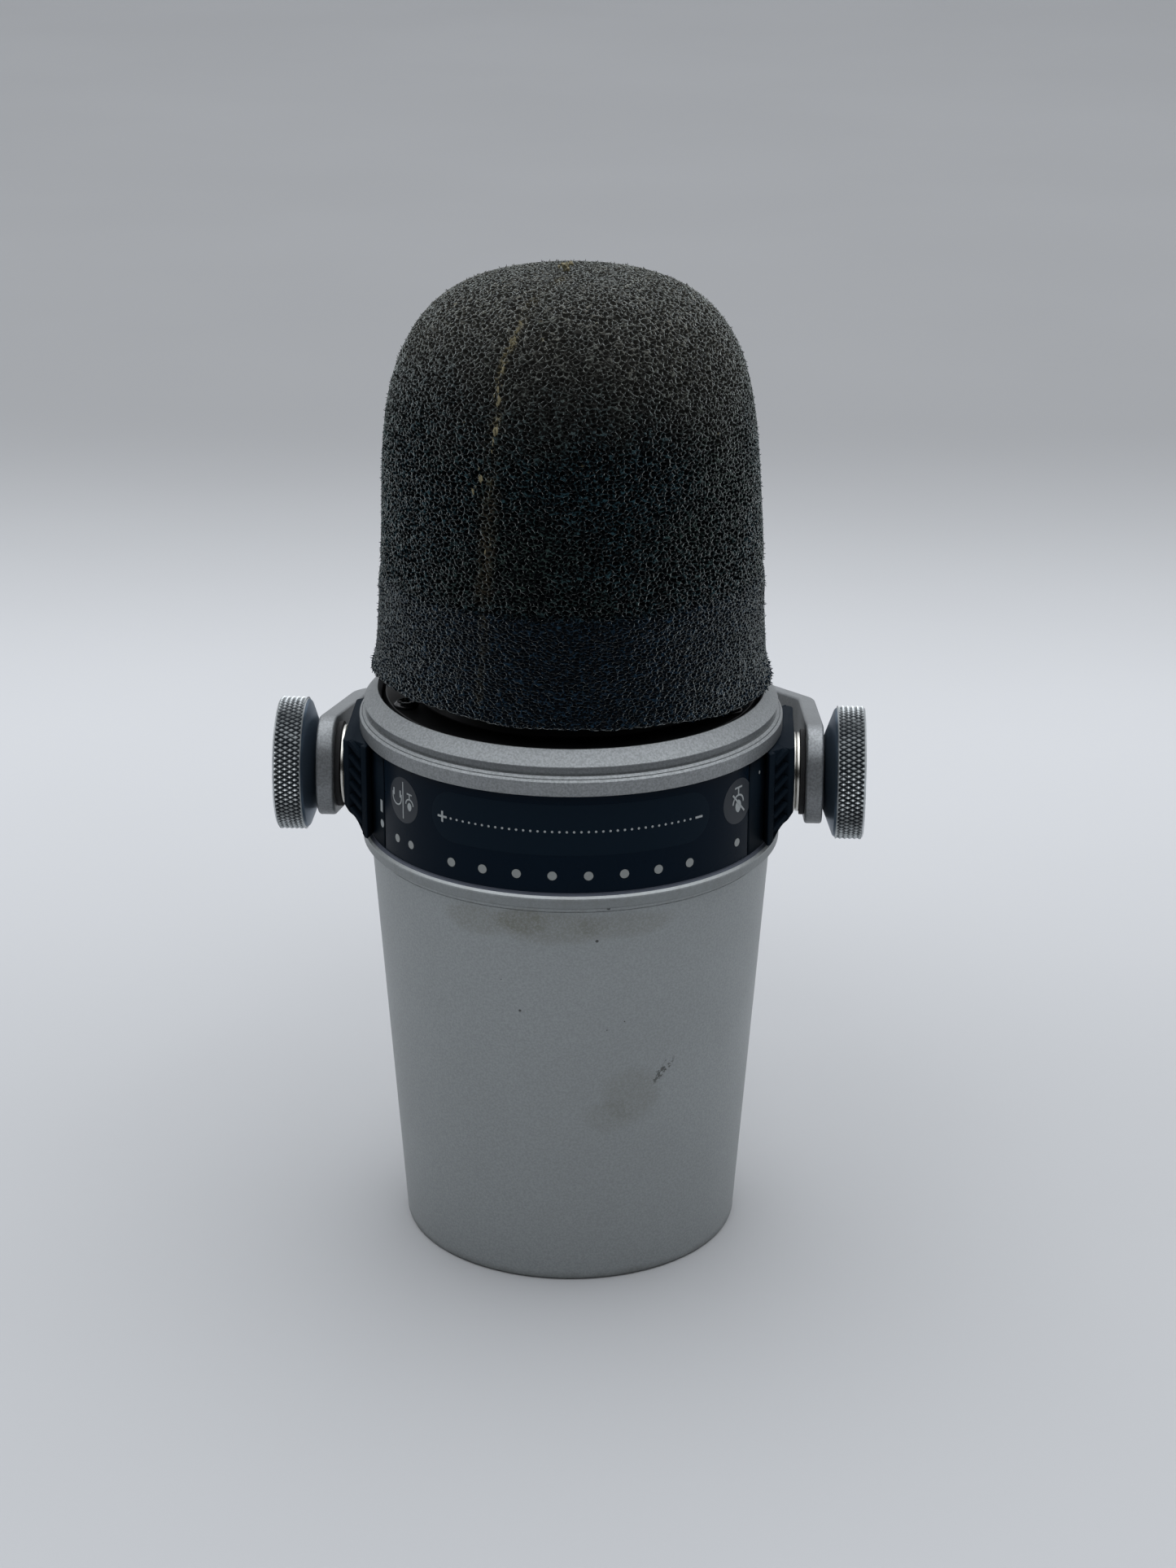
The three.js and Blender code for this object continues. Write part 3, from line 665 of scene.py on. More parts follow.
def leave(graph, geometry, material=None):
    # Realizes the instances, sets the material and ends the tree.
    geometry = graph.node("GeometryNodeRealizeInstances", sockets={0: geometry})
    if material:
        geometry = graph.node("GeometryNodeSetMaterial", sockets={"Geometry": geometry, "Material": material})
    end = graph.tree.nodes.new("NodeGroupOutput")
    graph.tree.links.new(geometry.socket, end.inputs[0])


def runTree(obj, tree, values=None):
    modifier = obj.modifiers.new("nodes", "NODES")
    modifier.node_group = tree
    for item in tree.interface.items_tree:
        if item.item_type == "SOCKET" and item.in_out == "INPUT" and item.name in (values or {}):
            modifier[item.identifier] = values[item.name]
    return applied(obj)


def scattered(name, shape, places, material, upsideDown=False):
    # A copy of the shape at each place, in millimetres from the axis.
    mesh = bpy.data.meshes.new(name)
    mesh.from_pydata([(x * mm, y * mm + axisY, z * mm) for x, y, z in places], [], [])
    obj = linked(name, mesh)
    tree, g, given = geometryTree(name, [("Shape", "NodeSocketObject", None),
                                         ("Turn", "NodeSocketVector", (0, 0, 0))])
    copy = g.node("GeometryNodeObjectInfo", sockets={"Object": given["Shape"]}, output="Geometry")
    copies = g.node("GeometryNodeInstanceOnPoints", sockets={
        "Points": given["Geometry"], "Instance": copy, "Rotation": given["Turn"]})
    leave(g, copies, material)
    runTree(obj, tree, {"Shape": shape, "Turn": (math.pi if upsideDown else 0.0, 0.0, 0.0)})
    bpy.data.objects.remove(shape)
    return obj


band = {"lensHalf": 60.4, "inner": 28.2, "pocket": 30.3, "turn": 2.6, "ledZ": 69.9,
        "ledRadius": 0.69, "ledStep": 9.72, "leds": 8, "dotRadius": 0.18, "dots": 36, "dotStep": 1.944,
        "dotZ": 76.8, "zoneHalf": 40.6, "zoneLow": 73.1, "zoneHigh": 81.0, "icon": 52.5, "iconRadius": 3.55,
        "iconZ": 77.0, "signs": 36.9, "signHalf": 0.85, "dashHalf": 0.65, "bold": 0.34, "thin": 0.22,
        "sideLights": (-55.6, -49.2, 52.3)}


def arcWall(name, inner, outer, start, end, low, high, steps=96, bevel=0.12):
    # An upright wall round the axis; the angles are in degrees from the front, positive towards +X.
    outline = arc(outer, start - 90, end - 90, steps) + arc(inner, end - 90, start - 90, steps)
    return extruded(name, outline, low, high, bevel=bevel)


def onBand(points, lift):
    # Lays (along, z) millimetres on the band, with along measured round it from the front.
    radius = bandRadius + lift
    return [(radius * math.sin(a), -radius * math.cos(a), z)
            for a, z in ((s / bandRadius, z) for s, z in points)]


class Decal:
    # Thin printed shapes on the band, gathered into one piece.
    def __init__(self, lift):
        self.lift = lift
        self.points = []
        self.faces = []

    def strip(self, lower, upper):
        start = len(self.points)
        self.points += onBand(lower, self.lift) + onBand(upper, self.lift)
        count = len(lower)
        self.faces += [(start + i, start + i + 1, start + i + 1 + count, start + i + count)
                       for i in range(count - 1)]

    def disc(self, s, z, radius, steps=24):
        columns = [(s - radius * math.cos(a), radius * math.sin(a))
                   for a in (math.pi * i / steps for i in range(steps + 1))]
        self.strip([(x, z - h) for x, h in columns], [(x, z + h) for x, h in columns])

    def stadium(self, s0, s1, low, high, steps=72):
        radius, half = (high - low) / 2, (high + low) / 2
        columns = []
        for i in range(steps + 1):
            s = s0 + (s1 - s0) * (1 - math.cos(math.pi * i / steps)) / 2
            inside = min(s - s0, s1 - s, radius)
            columns.append((s, math.sqrt(max(0, radius ** 2 - (radius - inside) ** 2))))
        self.strip([(x, half - h) for x, h in columns], [(x, half + h) for x, h in columns])

    def stroke(self, path, width):
        lower, upper = [], []
        for i, point in enumerate(path):
            ahead = Vector(path[min(i + 1, len(path) - 1)]) - Vector(path[max(i - 1, 0)])
            side = Vector((-ahead.y, ahead.x)).normalized() * (width / 2)
            lower.append(tuple(Vector(point) - side))
            upper.append(tuple(Vector(point) + side))
        self.strip(lower, upper)

    def made(self, name, material, slot):
        obj = addMesh(name, self.points, self.faces)
        modifier = obj.modifiers.new("thickness", "SOLIDIFY")
        modifier.thickness = 0.02 * mm
        modifier.offset = 0
        softShaded(applied(obj).data)
        return finished(obj, "microphone", material, slot)


def along(degrees):
    return math.radians(degrees + band["turn"]) * bandRadius


def microphoneMark(decal, s, z, size, width):
    # A capsule, its cradle and its stem, lying on their side.
    decal.stadium(s - 0.24 * size, s + 0.24 * size, z - 0.62 * size, z + 0.1 * size, 24)
    decal.stroke(arc(0.44 * size, 0, 180, 14, (s, z - 0.12 * size)), width)
    decal.stroke([(s, z + 0.34 * size), (s, z + 0.72 * size)], width)
    decal.stroke([(s - 0.3 * size, z + 0.72 * size), (s + 0.3 * size, z + 0.72 * size)], width)


def headphoneMark(decal, s, z, size, width):
    # The headband hangs below its two ear pads.
    reach = 0.56 * size
    path = [(s - reach, z + 0.3 * size)] + arc(reach, 180, 360, 20, (s, z)) + [(s + reach, z + 0.3 * size)]
    decal.stroke(path, width)
    for way in (-1, 1):
        x = s + way * 0.42 * size
        decal.stroke([(x, z + 0.05 * size), (x, z + 0.58 * size)], width * 1.5)


def makeBand():
    edge = band["lensHalf"] + 0.4
    back = arcWall("band_back", band["inner"], bandRadius, edge, 360 - edge, bandBase + 0.2, bandTop)
    front = arcWall("band_front", band["inner"], band["pocket"], -edge - 1, edge + 1, bandBase + 0.2, bandTop)
    finished(joined("control_ring", [back, front]), "microphone", finishes["blackPlastic"],
             "black_plastic", "control_housing")
    lens = arcWall("touch_window", band["pocket"], bandRadius, -band["lensHalf"], band["lensHalf"],
                   bandBase + 0.25, bandTop, 160, 0.1)
    finished(lens, "microphone", finishes["touchPanel"], "touch_panel", "touch_lens")

    zone = Decal(0.012)
    zone.stadium(along(-band["zoneHalf"]), along(band["zoneHalf"]), band["zoneLow"], band["zoneHigh"])
    zone.made("touch_zone", finishes["touchZone"], "touch_panel")
    discs = Decal(0.012)
    for way in (-1, 1):
        discs.disc(along(way * band["icon"]), band["iconZ"], band["iconRadius"], 32)
    discs.made("icon_discs", finishes["iconDisc"], "touch_panel")

    leds = Decal(0.03)
    for i in range(band["leds"]):
        leds.disc(along((i - (band["leds"] - 1) / 2) * band["ledStep"]), band["ledZ"], band["ledRadius"])
    for angle in band["sideLights"]:
        leds.disc(along(angle), band["ledZ"] + 0.5, band["ledRadius"] * 0.92)
    leds.made("status_lights", finishes["ledWindow"], "clear_plastic")

    marks = Decal(0.035)
    for i in range(band["dots"]):
        marks.disc(along((i - (band["dots"] - 1) / 2) * band["dotStep"]), band["dotZ"], band["dotRadius"], 8)
    plus, minus, high = along(-band["signs"]), along(band["signs"]), band["dotZ"]
    arm, dash, bold, thin = band["signHalf"], band["dashHalf"], band["bold"], band["thin"]
    marks.stroke([(plus - arm, high), (plus + arm, high)], bold)
    marks.stroke([(plus, high - arm), (plus, high + arm)], bold)
    marks.stroke([(minus - dash, high), (minus + dash, high)], bold)
    left, right, middleZ = along(-band["icon"]), along(band["icon"]), band["iconZ"]
    marks.stroke([(left, middleZ - 2.9), (left, middleZ + 2.9)], thin)
    headphoneMark(marks, left - 1.6, middleZ + 0.1, 2.1, thin)
    microphoneMark(marks, left + 1.6, middleZ - 0.1, 2.0, thin)
    microphoneMark(marks, right, middleZ, 3.0, 0.28)
    marks.made("panel_marks", finishes["print"], "touch_panel")
    slash = [(right - 1.5, middleZ + 1.3), (right + 1.5, middleZ - 1.9)]
    gap = Decal(0.05)
    gap.stroke(slash, 0.75)
    gap.made("slash_gap", finishes["iconDisc"], "touch_panel")
    last = Decal(0.11)
    last.stroke(slash, 0.3)
    last.disc(along(-64.6), 71.1, band["ledRadius"] * 0.9)
    last.stroke([(along(-65.6), 73.9), (along(-64.1), 73.9)], 1.9)
    last.disc(along(63.9), 79.6, 0.26, 10)
    last.made("edge_marks", finishes["print"], "touch_panel")
    print("control band made")


pivot = {"face": 34.2, "backHalf": 28.7, "frontHalf": 9.3, "low": 67.6, "high": 82.45, "ribs": 7,
         "recess": 0.9, "footHalf": 19, "postFrom": 0.42, "postTo": 0.56, "slotEnd": 0.86,
         "skins": (60.5, 91.4), "skinSweep": 28.1, "ribLean": 34, "washer": 6.1, "bore": 3.0}
knob = {"radius": 10.25, "face": 45.085, "bandStart": 40.8, "nose": 38.95, "noseRadius": 5.8,
        "teeth": 76, "rows": 2.6, "depth": 0.42, "around": 608}


def makeBracket(side, pose):
    # A thin skin runs on from the window; the block behind it has an upright post, then slanted ribs.
    inner = bandRadius + 0.02
    half = math.radians(pivot["backHalf"])
    startX, startY = inner * math.cos(half), inner * math.sin(half)
    flank = Vector((pivot["face"] - startX, startY - pivot["frontHalf"]))
    away = Vector((flank.y, flank.x)).normalized()
    foot = math.radians(pivot["footHalf"])
    deep = [(inner * math.cos(foot), -inner * math.sin(foot))]
    deep += [(startX + flank.x * t - away.x * d, -startY + flank.y * t + away.y * d)
             for t, d in ((pivot["postFrom"], 0), (pivot["postTo"], 0),
                          (pivot["postTo"] + 0.02, pivot["recess"]), (pivot["slotEnd"], pivot["recess"]),
                          (pivot["slotEnd"] + 0.02, 0), (1, 0))]
    outline = deep + [(x, -y) for x, y in reversed(deep)]
    outline += arc(inner, pivot["footHalf"], -pivot["footHalf"], 24)[1:-1]
    low, high = pivot["low"], pivot["high"]
    body = extruded("bracket", outline, low, high, bevel=0.2)
    skins = [arcWall("skin", inner, inner + 0.06, start, start + pivot["skinSweep"], low, high, 24, 0)
             for start in pivot["skins"]]

    ribs = []
    pitch = (high - low) / pivot["ribs"]
    length = flank.length * (pivot["slotEnd"] - pivot["postTo"])
    for i in range(pivot["ribs"]):
        for way in (-1, 1):
            rib = extruded("rib", roundedRectangle(length * 1.2, 0.62, 0.3), -pivot["recess"], -0.08)
            rib.data.transform(Matrix.Translation((0, -axisY, 0)))
            face = Matrix((
                (flank.x / flank.length, 0, away.x, 0),
                (flank.y / flank.length, 0, -away.y, 0),
                (0, 1, 0, 0), (0, 0, 0, 1)))
            share = (pivot["slotEnd"] + 0.02 + pivot["postTo"]) / 2
            spot = Vector((startX + flank.x * share, -startY + flank.y * share, 0))
            lift = low + pitch * (i + 0.5)
            turn = Matrix.Rotation(math.radians(pivot["ribLean"]), 4, "Z")
            matrix = Matrix.Translation(Vector((spot.x, spot.y, lift)) * mm) @ face @ turn
            if way > 0:
                matrix = Matrix.Scale(-1, 4, (0, 1, 0)) @ matrix
            rib.data.transform(Matrix.Translation((0, axisY, 0)) @ matrix)
            ribs.append(rib)
    whole = joined(f"side_bracket_{side}", [body, *skins, *ribs])
    slice3d(whole, (pivot["face"], 0, 72.0), (0.78, 0, -0.62))
    slice3d(whole, (0, 0, low + 0.02), (0, 0, -1))
    slice3d(whole, (0, 0, high - 0.02), (0, 0, 1))
    facedOut(whole)
    turnAbout(whole, pose)
    return finished(whole, "microphone", finishes["blackPlastic"], "black_plastic", f"bracket_{side}")


def slice3d(obj, point, normal):
    # Cuts away what lies beyond a plane, and closes the cut.
    work = bmesh.new()
    work.from_mesh(obj.data)
    at = Vector(point) * mm + Vector((0, axisY, 0))
    result = bmesh.ops.bisect_plane(work, geom=work.verts[:] + work.edges[:] + work.faces[:], dist=1e-7,
                                    plane_co=at, plane_no=Vector(normal).normalized(), clear_outer=True)
    edges = [e for e in result["geom_cut"] if isinstance(e, bmesh.types.BMEdge)]
    bmesh.ops.holes_fill(work, edges=edges)
    work.to_mesh(obj.data)
    work.free()


def turnAbout(obj, pose):
    # Turns a mesh that is already in place about the microphone's axis.
    centre = Matrix.Translation((0, axisY, 0))
    obj.data.transform(centre @ pose @ centre.inverted())


def makeKnob(side, pose):
    # One skin whose rim carries a diamond knurl.
    face, start, radius = knob["face"], knob["bandStart"], knob["radius"]
    low, high = start + 0.1, face - 0.28
    profile = [(p.x, p.y, 0.0) for p in rounded([
        (2.9, knob["nose"] + 3.0), (2.9, knob["nose"], 0.1), (knob["noseRadius"], knob["nose"], 0.25),
        (radius - 0.55, start - 0.35, 0.12), (radius - 0.25, start, 0.1), (radius - 0.2, start + 0.08),
    ], closed=False)]
    for x in np.linspace(low, high, 50):
        ends = min(1.0, (x - low) / 0.12, (high - x) / 0.12)
        profile.append((radius, x, max(0.0, ends)))
    profile += [(p.x, p.y, 0.0) for p in rounded([
        (radius - 0.18, face - 0.2), (radius - 0.35, face, 0.1), (radius - 1.7, face, 0.15),
        (radius - 2.3, face - 0.45, 0.3), (3.0, face - 0.6, 0.3), (2.4, face - 0.35, 0.2), (0, face - 0.35),
    ], closed=False)]
    profile.insert(0, (0.0, knob["nose"] + 3.0, 0.0))
    around, teeth = knob["around"], knob["teeth"]
    angle = np.linspace(0, 2 * math.pi, around, endpoint=False)[:, None]
    radii, xs, cut = [np.array(column)[None, :] for column in zip(*profile)]
    turns = angle * teeth / (2 * math.pi)
    rows = (xs - low) * knob["rows"] / (high - low)

    def tooth(phase):
        return 1 - np.abs(2 * (phase - np.floor(phase)) - 1)

    height = np.minimum(np.minimum(tooth(turns + rows), tooth(turns - rows)) / 0.92, 1)
    shape = radii - knob["depth"] * np.clip(cut, 0, 1) * (1 - height)
    shape = np.where(radii < 1e-6, 0, shape)
    points = np.stack([shape * np.cos(angle), shape * np.sin(angle), np.broadcast_to(xs, shape.shape)], 2)
    count = len(profile)
    faces = [(i * count + j, (i + 1) % around * count + j, (i + 1) % around * count + j + 1,
              i * count + j + 1) for i in range(around) for j in range(count - 1)]
    obj = addMesh(f"clamp_knob_{side}", points, faces, pose @ alongX, 28)
    places = np.array([v.co[:] for v in obj.data.vertices]) / mm - (0, axisY / mm, pivotZ)
    reach, out = np.hypot(places[:, 1], places[:, 2]), np.abs(places[:, 0])
    values = {"cut": np.where((out > low) & (out < high), (radius - reach) / knob["depth"], 0.25),
              "cone": np.where(out < start - 0.02, 1.0, 0.0)}
    for label, value in values.items():
        obj.data.attributes.new(label, "FLOAT", "POINT").data.foreach_set("value", np.clip(value, 0, 1))
    return finished(obj, f"knob_{side}", finishes["knob"], "plated_zinc", f"knob_{side}")


def makePivots():
    for side, pose in sides.items():
        makeBracket(side, pose)
        lay = pose @ alongX
        low, r = pivot["face"] + 0.02, pivot["washer"]
        washer = turned(f"clamp_washer_{side}", [
            (pivot["bore"], low), (r, low, 0.12), (r, low + 0.32, 0.12), (r - 0.3, low + 0.36, 0.03),
            (r - 0.3, low + 0.42, 0.03), (r, low + 0.46, 0.12), (r, low + 0.98, 0.12),
            (pivot["bore"], low + 0.98),
        ], 72, lay)
        finished(washer, "microphone", finishes["steel"], "bright_steel", f"washer_{side}")
        pad = turned(f"clamp_pad_{side}", [
            (pivot["bore"], low + 1.0), (r + 0.5, low + 1.0, 0.1), (r + 0.5, 35.97, 0.1),
            (pivot["bore"], 35.97),
        ], 64, lay)
        finished(pad, "microphone", finishes["rubber"], "rubber", f"friction_pad_{side}")
        makeKnob(side, pose)
        stud = turned(f"clamp_stud_{side}", studOutline(), 32, lay)
        finished(stud, f"knob_{side}", finishes["steel"], "bright_steel", f"stud_{side}")
    print("pivots made")


def studOutline():
    # A round bar with thread-like grooves along its inner half.
    outline = [(0, 28.8), (2.1, 28.8)]
    for i in range(12):
        outline += [(2.66, 29.2 + i * 0.8), (2.3, 29.6 + i * 0.8)]
    return outline + [(2.66, 39.0), (2.66, 41.8), (0, 41.8)]


head = {"bore": 29.0, "radius": 32.42, "base": 82.62, "step": 84.8, "ledge": 31.62, "groove": 31.12,
        "slope": 31.7, "slopeZ": 86.85, "peak": 29.6, "top": 89.1, "collarBore": 21.0,
        "collarTop": 87.85, "flange": 28.4, "flangeZ": 87.9, "basket": 23.0, "basketWall": 0.6,
        "shoulder": 116, "basketTop": 146.5, "pitch": 2.0, "web": 0.70,
        "screwCircle": 26.5, "screwAngle": 66.5}


def makeHead():
    outer, step, top, base = head["radius"], head["step"], head["top"], head["base"]
    ledge, groove, slope, slopeZ = head["ledge"], head["groove"], head["slope"], head["slopeZ"]
    bezel = turned("bezel", [
        (head["bore"], base), (outer - 0.12, base), (outer, base + 0.22),
        (outer, step, 0.05), (outer - 0.33, step + 0.32, 0.04), (outer - 0.44, step + 0.22),
        (outer - 0.47, step + 0.4), (ledge, step + 0.72, 0.04), (groove + 0.03, step + 0.74),
        (groove, slopeZ - 0.25, 0.08), (slope, slopeZ - 0.06, 0.05), (slope - 0.03, slopeZ + 0.07, 0.06),
        (head["peak"], top, 0.14), (head["bore"], top - 1.1, 0.12),
    ], 224)
    finished(bezel, "microphone", finishes["headPaint"], "silver_paint", "bezel_ring")
    collar = turned("grille_seat", [
        (head["collarBore"], base + 0.2), (head["bore"] - 0.05, base + 0.2),
        (head["bore"] - 0.05, 86.6, 0.5), (head["flange"] - 0.2, head["collarTop"], 0.4),
        (head["collarBore"], head["collarTop"], 0.2),
    ], 144)
    finished(collar, "microphone", finishes["recess"], "black_plastic", "grille_collar")

    angle = math.radians(head["screwAngle"])
    x, y = head["screwCircle"] * math.sin(angle), head["screwCircle"] * math.cos(angle)
    places = [(i * x, j * y, head["flangeZ"] + 0.56) for i in (-1, 1) for j in (-1, 1)]
    screws = scattered("grille_screws", screwShape(1.9, 0.85, 1.0, 3.4), places, finishes["blackSteel"])
    finished(screws, "microphone", finishes["blackSteel"], "dark_metal",
             *[f"grille_screw_{i}" for i in range(1, 5)])
    makeBasket()
    print("head made")


def ringSurface(name, line):
    # Even triangles over the surface that a line of (radius, z) sweeps round the axis.
    points, faces, last = [], [], None
    for k, (radius, z, gap) in enumerate(line):
        count = max(1, round(2 * math.pi * radius / gap)) if radius > gap / 4 else 1
        shift = 0.5 * (k % 2)
        ring = [(i + shift) / count for i in range(count)]
        start = len(points)
        for share in ring:
            angle = 2 * math.pi * share
            at = 0 if count == 1 else radius
            points.append((at * math.cos(angle), at * math.sin(angle), z))
        if last:
            faces += zipped(*last, start, ring)
        last = (start, ring)
    return addMesh(name, points, faces, sharpAngle=180)


def zipped(startA, ringA, startB, ringB):
    # Triangles between two rings that may differ in how many points they have.
    faces, i, j = [], 0, 0
    countA, countB = len(ringA), len(ringB)
    stepsA, stepsB = [count if count > 1 else 0 for count in (countA, countB)]
    while i < stepsA or j < stepsB:
        a, b = startA + i % countA, startB + j % countB
        aheadA = ringA[(i + 1) % countA] + (i + 1) // countA
        aheadB = ringB[(j + 1) % countB] + (j + 1) // countB
        if j == stepsB or (i < stepsA and aheadA <= aheadB):
            faces.append((a, startA + (i + 1) % countA, b))
            i += 1
        else:
            faces.append((a, startB + (j + 1) % countB, b))
            j += 1
    return faces


def evenly(line, spacing):
    # The same line with points an even distance apart, each with that distance as its third value.
    line = np.array(line, float)
    run = np.concatenate([[0], np.cumsum(np.hypot(*np.diff(line, axis=0).T))])
    marks = np.linspace(0, run[-1], max(2, round(run[-1] / (spacing * 0.866)) + 1))
    return [(max(r, 0), z, spacing) for r, z in zip(np.interp(marks, run, line[:, 0]),
                                                   np.interp(marks, run, line[:, 1]))]


def domeLine(radiusAt, top, shoulder, rise, reach, steps=400):
    # A rounded top from its shoulder up to the axis.
    line = []
    for i in range(steps + 1):
        u = math.sin(math.pi / 2 * i / steps)
        z = shoulder + (top - shoulder) * u
        line.append((radiusAt(z) * max(0, 1 - u ** rise) ** (1 / reach), z))
    return line


def makeBasket():
    # Perforated steel: every face of a triangle mesh's dual becomes a hole in the sheet.
    radius = head["basket"]
    low = head["flangeZ"] + 1.6
    line = [(radius, low)] + domeLine(lambda z: radius, head["basketTop"], head["shoulder"], 3, 2.6)
    sheet = ringSurface("grille_mesh", evenly(line, head["pitch"]))
    tree, g, given = geometryTree("perforated sheet", [("Web", "NodeSocketFloat", 0.7)])
    cells = g.node("GeometryNodeDualMesh", sockets={0: given["Geometry"], 1: True})
    rim = g.node("GeometryNodeExtrudeMesh", {"mode": "FACES"}, {
        "Mesh": cells, "Offset Scale": 0.0, "Individual": True})
    inside = Value(g, rim.socket.node.outputs["Top"])
    shrunk = g.node("GeometryNodeScaleElements", sockets={
        "Geometry": rim, "Selection": inside, "Scale": given["Web"]})
    web = g.node("GeometryNodeDeleteGeometry", {"domain": "FACE"}, {0: shrunk, 1: inside})
    leave(g, web, finishes["grille"])
    runTree(sheet, tree, {"Web": head["web"]})
    tidyMesh(sheet.data, 2e-5)
    thickness = sheet.modifiers.new("thickness", "SOLIDIFY")
    thickness.thickness = head["basketWall"] * mm
    thickness.offset = -1
    applied(sheet)
    edge = head["flangeZ"] + 0.5
    flange = turned("flange", [
        (radius - 0.9, head["flangeZ"]), (head["flange"], head["flangeZ"], 0.1), (head["flange"], edge, 0.2),
        (radius + 0.5, edge, 0.4), (radius + 0.02, low + 0.3), (radius - 0.7, low + 0.3), (radius - 0.9, low),
    ], 144)
    grille = joined("grille", [sheet, flange])
    finished(grille, "microphone", finishes["grille"], "grille_metal", "grille_basket")


yoke = {"inner": 36.0, "thick": 2.7, "height": 15.4, "front": 8.0, "corner": 6.0, "straight": 39.0,
        "lean": 14, "leanBend": 28.0, "backBend": 12.0, "crossInner": 80.2, "reach": 86.0,
        "pad": 12.6, "studHole": 3.2, "bossHole": 9.1, "neck": 8.9, "flange": 11.5, "thread": 7.94,
        "adapterBore": 4.4, "bevel": 0.42}


def strapPath():
    # The strap's middle line in plan from the middle of the back to an arm's front end, as runs of
    # (length, turn in radians), and that line's whole length.
    lean = math.radians(yoke["lean"])
    back = yoke["crossInner"] + yoke["thick"] / 2
    slant = (back - yoke["straight"] - yoke["leanBend"] * math.sin(lean)
             - yoke["backBend"] * (1 - math.sin(lean))) / math.cos(lean)
    across = (yoke["inner"] + yoke["thick"] / 2 - yoke["leanBend"] * (1 - math.cos(lean))
              - slant * math.sin(lean) - yoke["backBend"] * math.cos(lean))
    runs = [(across, 0), (yoke["backBend"] * (math.pi / 2 - lean), math.pi / 2 - lean), (slant, 0),
            (yoke["leanBend"] * lean, lean), (yoke["front"] + yoke["straight"], 0)]
    return runs, sum(run[0] for run in runs), back


def onStrap(along, runs, back):
    # The place and heading on the right half, along millimetres from the middle of the back.
    x, y, heading = 0.0, back, 0.0
    for length, turn in runs:
        step = min(max(along, 0), length)
        if turn:
            radius, swept = length / turn, step / length * turn
            x += radius * (math.sin(heading + swept) - math.sin(heading))
            y -= radius * (math.cos(heading) - math.cos(heading + swept))
            heading += swept
        else:
            x += step * math.cos(heading)
            y -= step * math.sin(heading)
        along -= length
    return x, y, heading


def makeStrap():
    # The strap is cut and bevelled flat, along X, then bent to its path.
    runs, half, back = strapPath()
    high, corner, pad = yoke["height"] / 2, yoke["corner"], yoke["pad"]
    ends = arc(corner, -90, 0, 10, (half - corner, corner - high)) + \
        arc(corner, 0, 90, 10, (half - corner, high - corner))
    widen = math.degrees(math.asin(high / pad))
    top = arc(pad, widen, 180 - widen, 28)
    blank = ends + top + [(-x, -y) for x, y in ends] + [(-x, -y) for x, y in top]
    strap = extruded("yoke_bar", blank, -yoke["thick"] / 2, yoke["thick"] / 2, toOrigin)
    for x, radius in ((0, yoke["bossHole"]), (half - yoke["front"], yoke["studHole"]),
                      (yoke["front"] - half, yoke["studHole"])):
        outline = [(0, -9), (radius, -9), (radius, 9), (0, 9)]
        cutter = turned("hole", outline, 72, toOrigin @ Matrix.Translation((x, 0, 0)))
        combined(strap, cutter, "DIFFERENCE")
    addBevel(strap, yoke["bevel"], 4, harden=False)
    work = bmesh.new()
    work.from_mesh(strap.data)
    for x in np.linspace(-half + 1, half - 1, 190):
        bmesh.ops.bisect_plane(work, geom=work.verts[:] + work.edges[:] + work.faces[:],
                               dist=1e-7, plane_co=(x * mm, 0, 0), plane_no=(1, 0, 0))
    for vertex in work.verts:
        along, height, out = vertex.co / mm
        x, y, heading = onStrap(abs(along), runs, back)
        x, y = x + out * math.sin(heading), y + out * math.cos(heading)
        vertex.co = (math.copysign(x, along), y, height)
    work.transform(Matrix.Translation((0, axisY, 0)) @ scaledPose(yokeFrame) @ Matrix.Scale(mm, 4))
    work.to_mesh(strap.data)
    work.free()
    facedOut(strap)
    softShaded(strap.data)
    return finished(strap, "yoke", finishes["yokePaint"], "silver_paint", "yoke_strap")


def scaledPose(pose):
    # A pose whose shift is in millimetres, for a mesh in metres.
    made = pose.copy()
    made.translation *= mm
    return made


def makeYoke():
    makeStrap()
    lay = yokeFrame @ Matrix.Rotation(-math.pi / 2, 4, "X")
    inner, thick, reach = yoke["crossInner"], yoke["thick"], yoke["reach"]
    flange = inner + thick + 0.05
    grooves = []
    for i in range(6):
        z = inner + 0.6 + i * 0.9
        grooves += [(yoke["thread"] + 0.42, z + 0.45), (yoke["thread"], z + 0.9)]
    boss = turned("stand_socket", [
        (yoke["thread"], inner + 0.2), (yoke["neck"], inner + 0.2, 0.2), (yoke["neck"], flange),
        (yoke["flange"] - 0.3, flange), (yoke["flange"], flange + 0.3, 0.15),
        (yoke["flange"], reach - 0.5, 0.3), (yoke["flange"] - 0.5, reach, 0.2),
        (yoke["thread"], reach, 0.2), *[(r, z) for r, z in reversed(grooves) if z < reach - 0.4],
    ], 112, lay)
    finished(boss, "yoke", finishes["darkMetal"], "plated_zinc", "stand_boss")
    wall = yoke["thread"] - 0.3
    slotted = turned("thread_reducer", [
        (yoke["adapterBore"], inner + 0.4), (wall, inner + 0.4, 0.3), (wall, reach - 0.5, 0.3),
        (yoke["adapterBore"], reach - 0.5, 0.35),
    ], 80, lay)
    slot = extruded("slot", [(-9, -0.7), (9, -0.7), (9, 0.7), (-9, 0.7)], reach - 1.8, reach + 1, lay)
    combined(slotted, slot, "DIFFERENCE")
    finished(slotted, "yoke", finishes["brass"], "brass", "thread_adapter")
    print("yoke made")


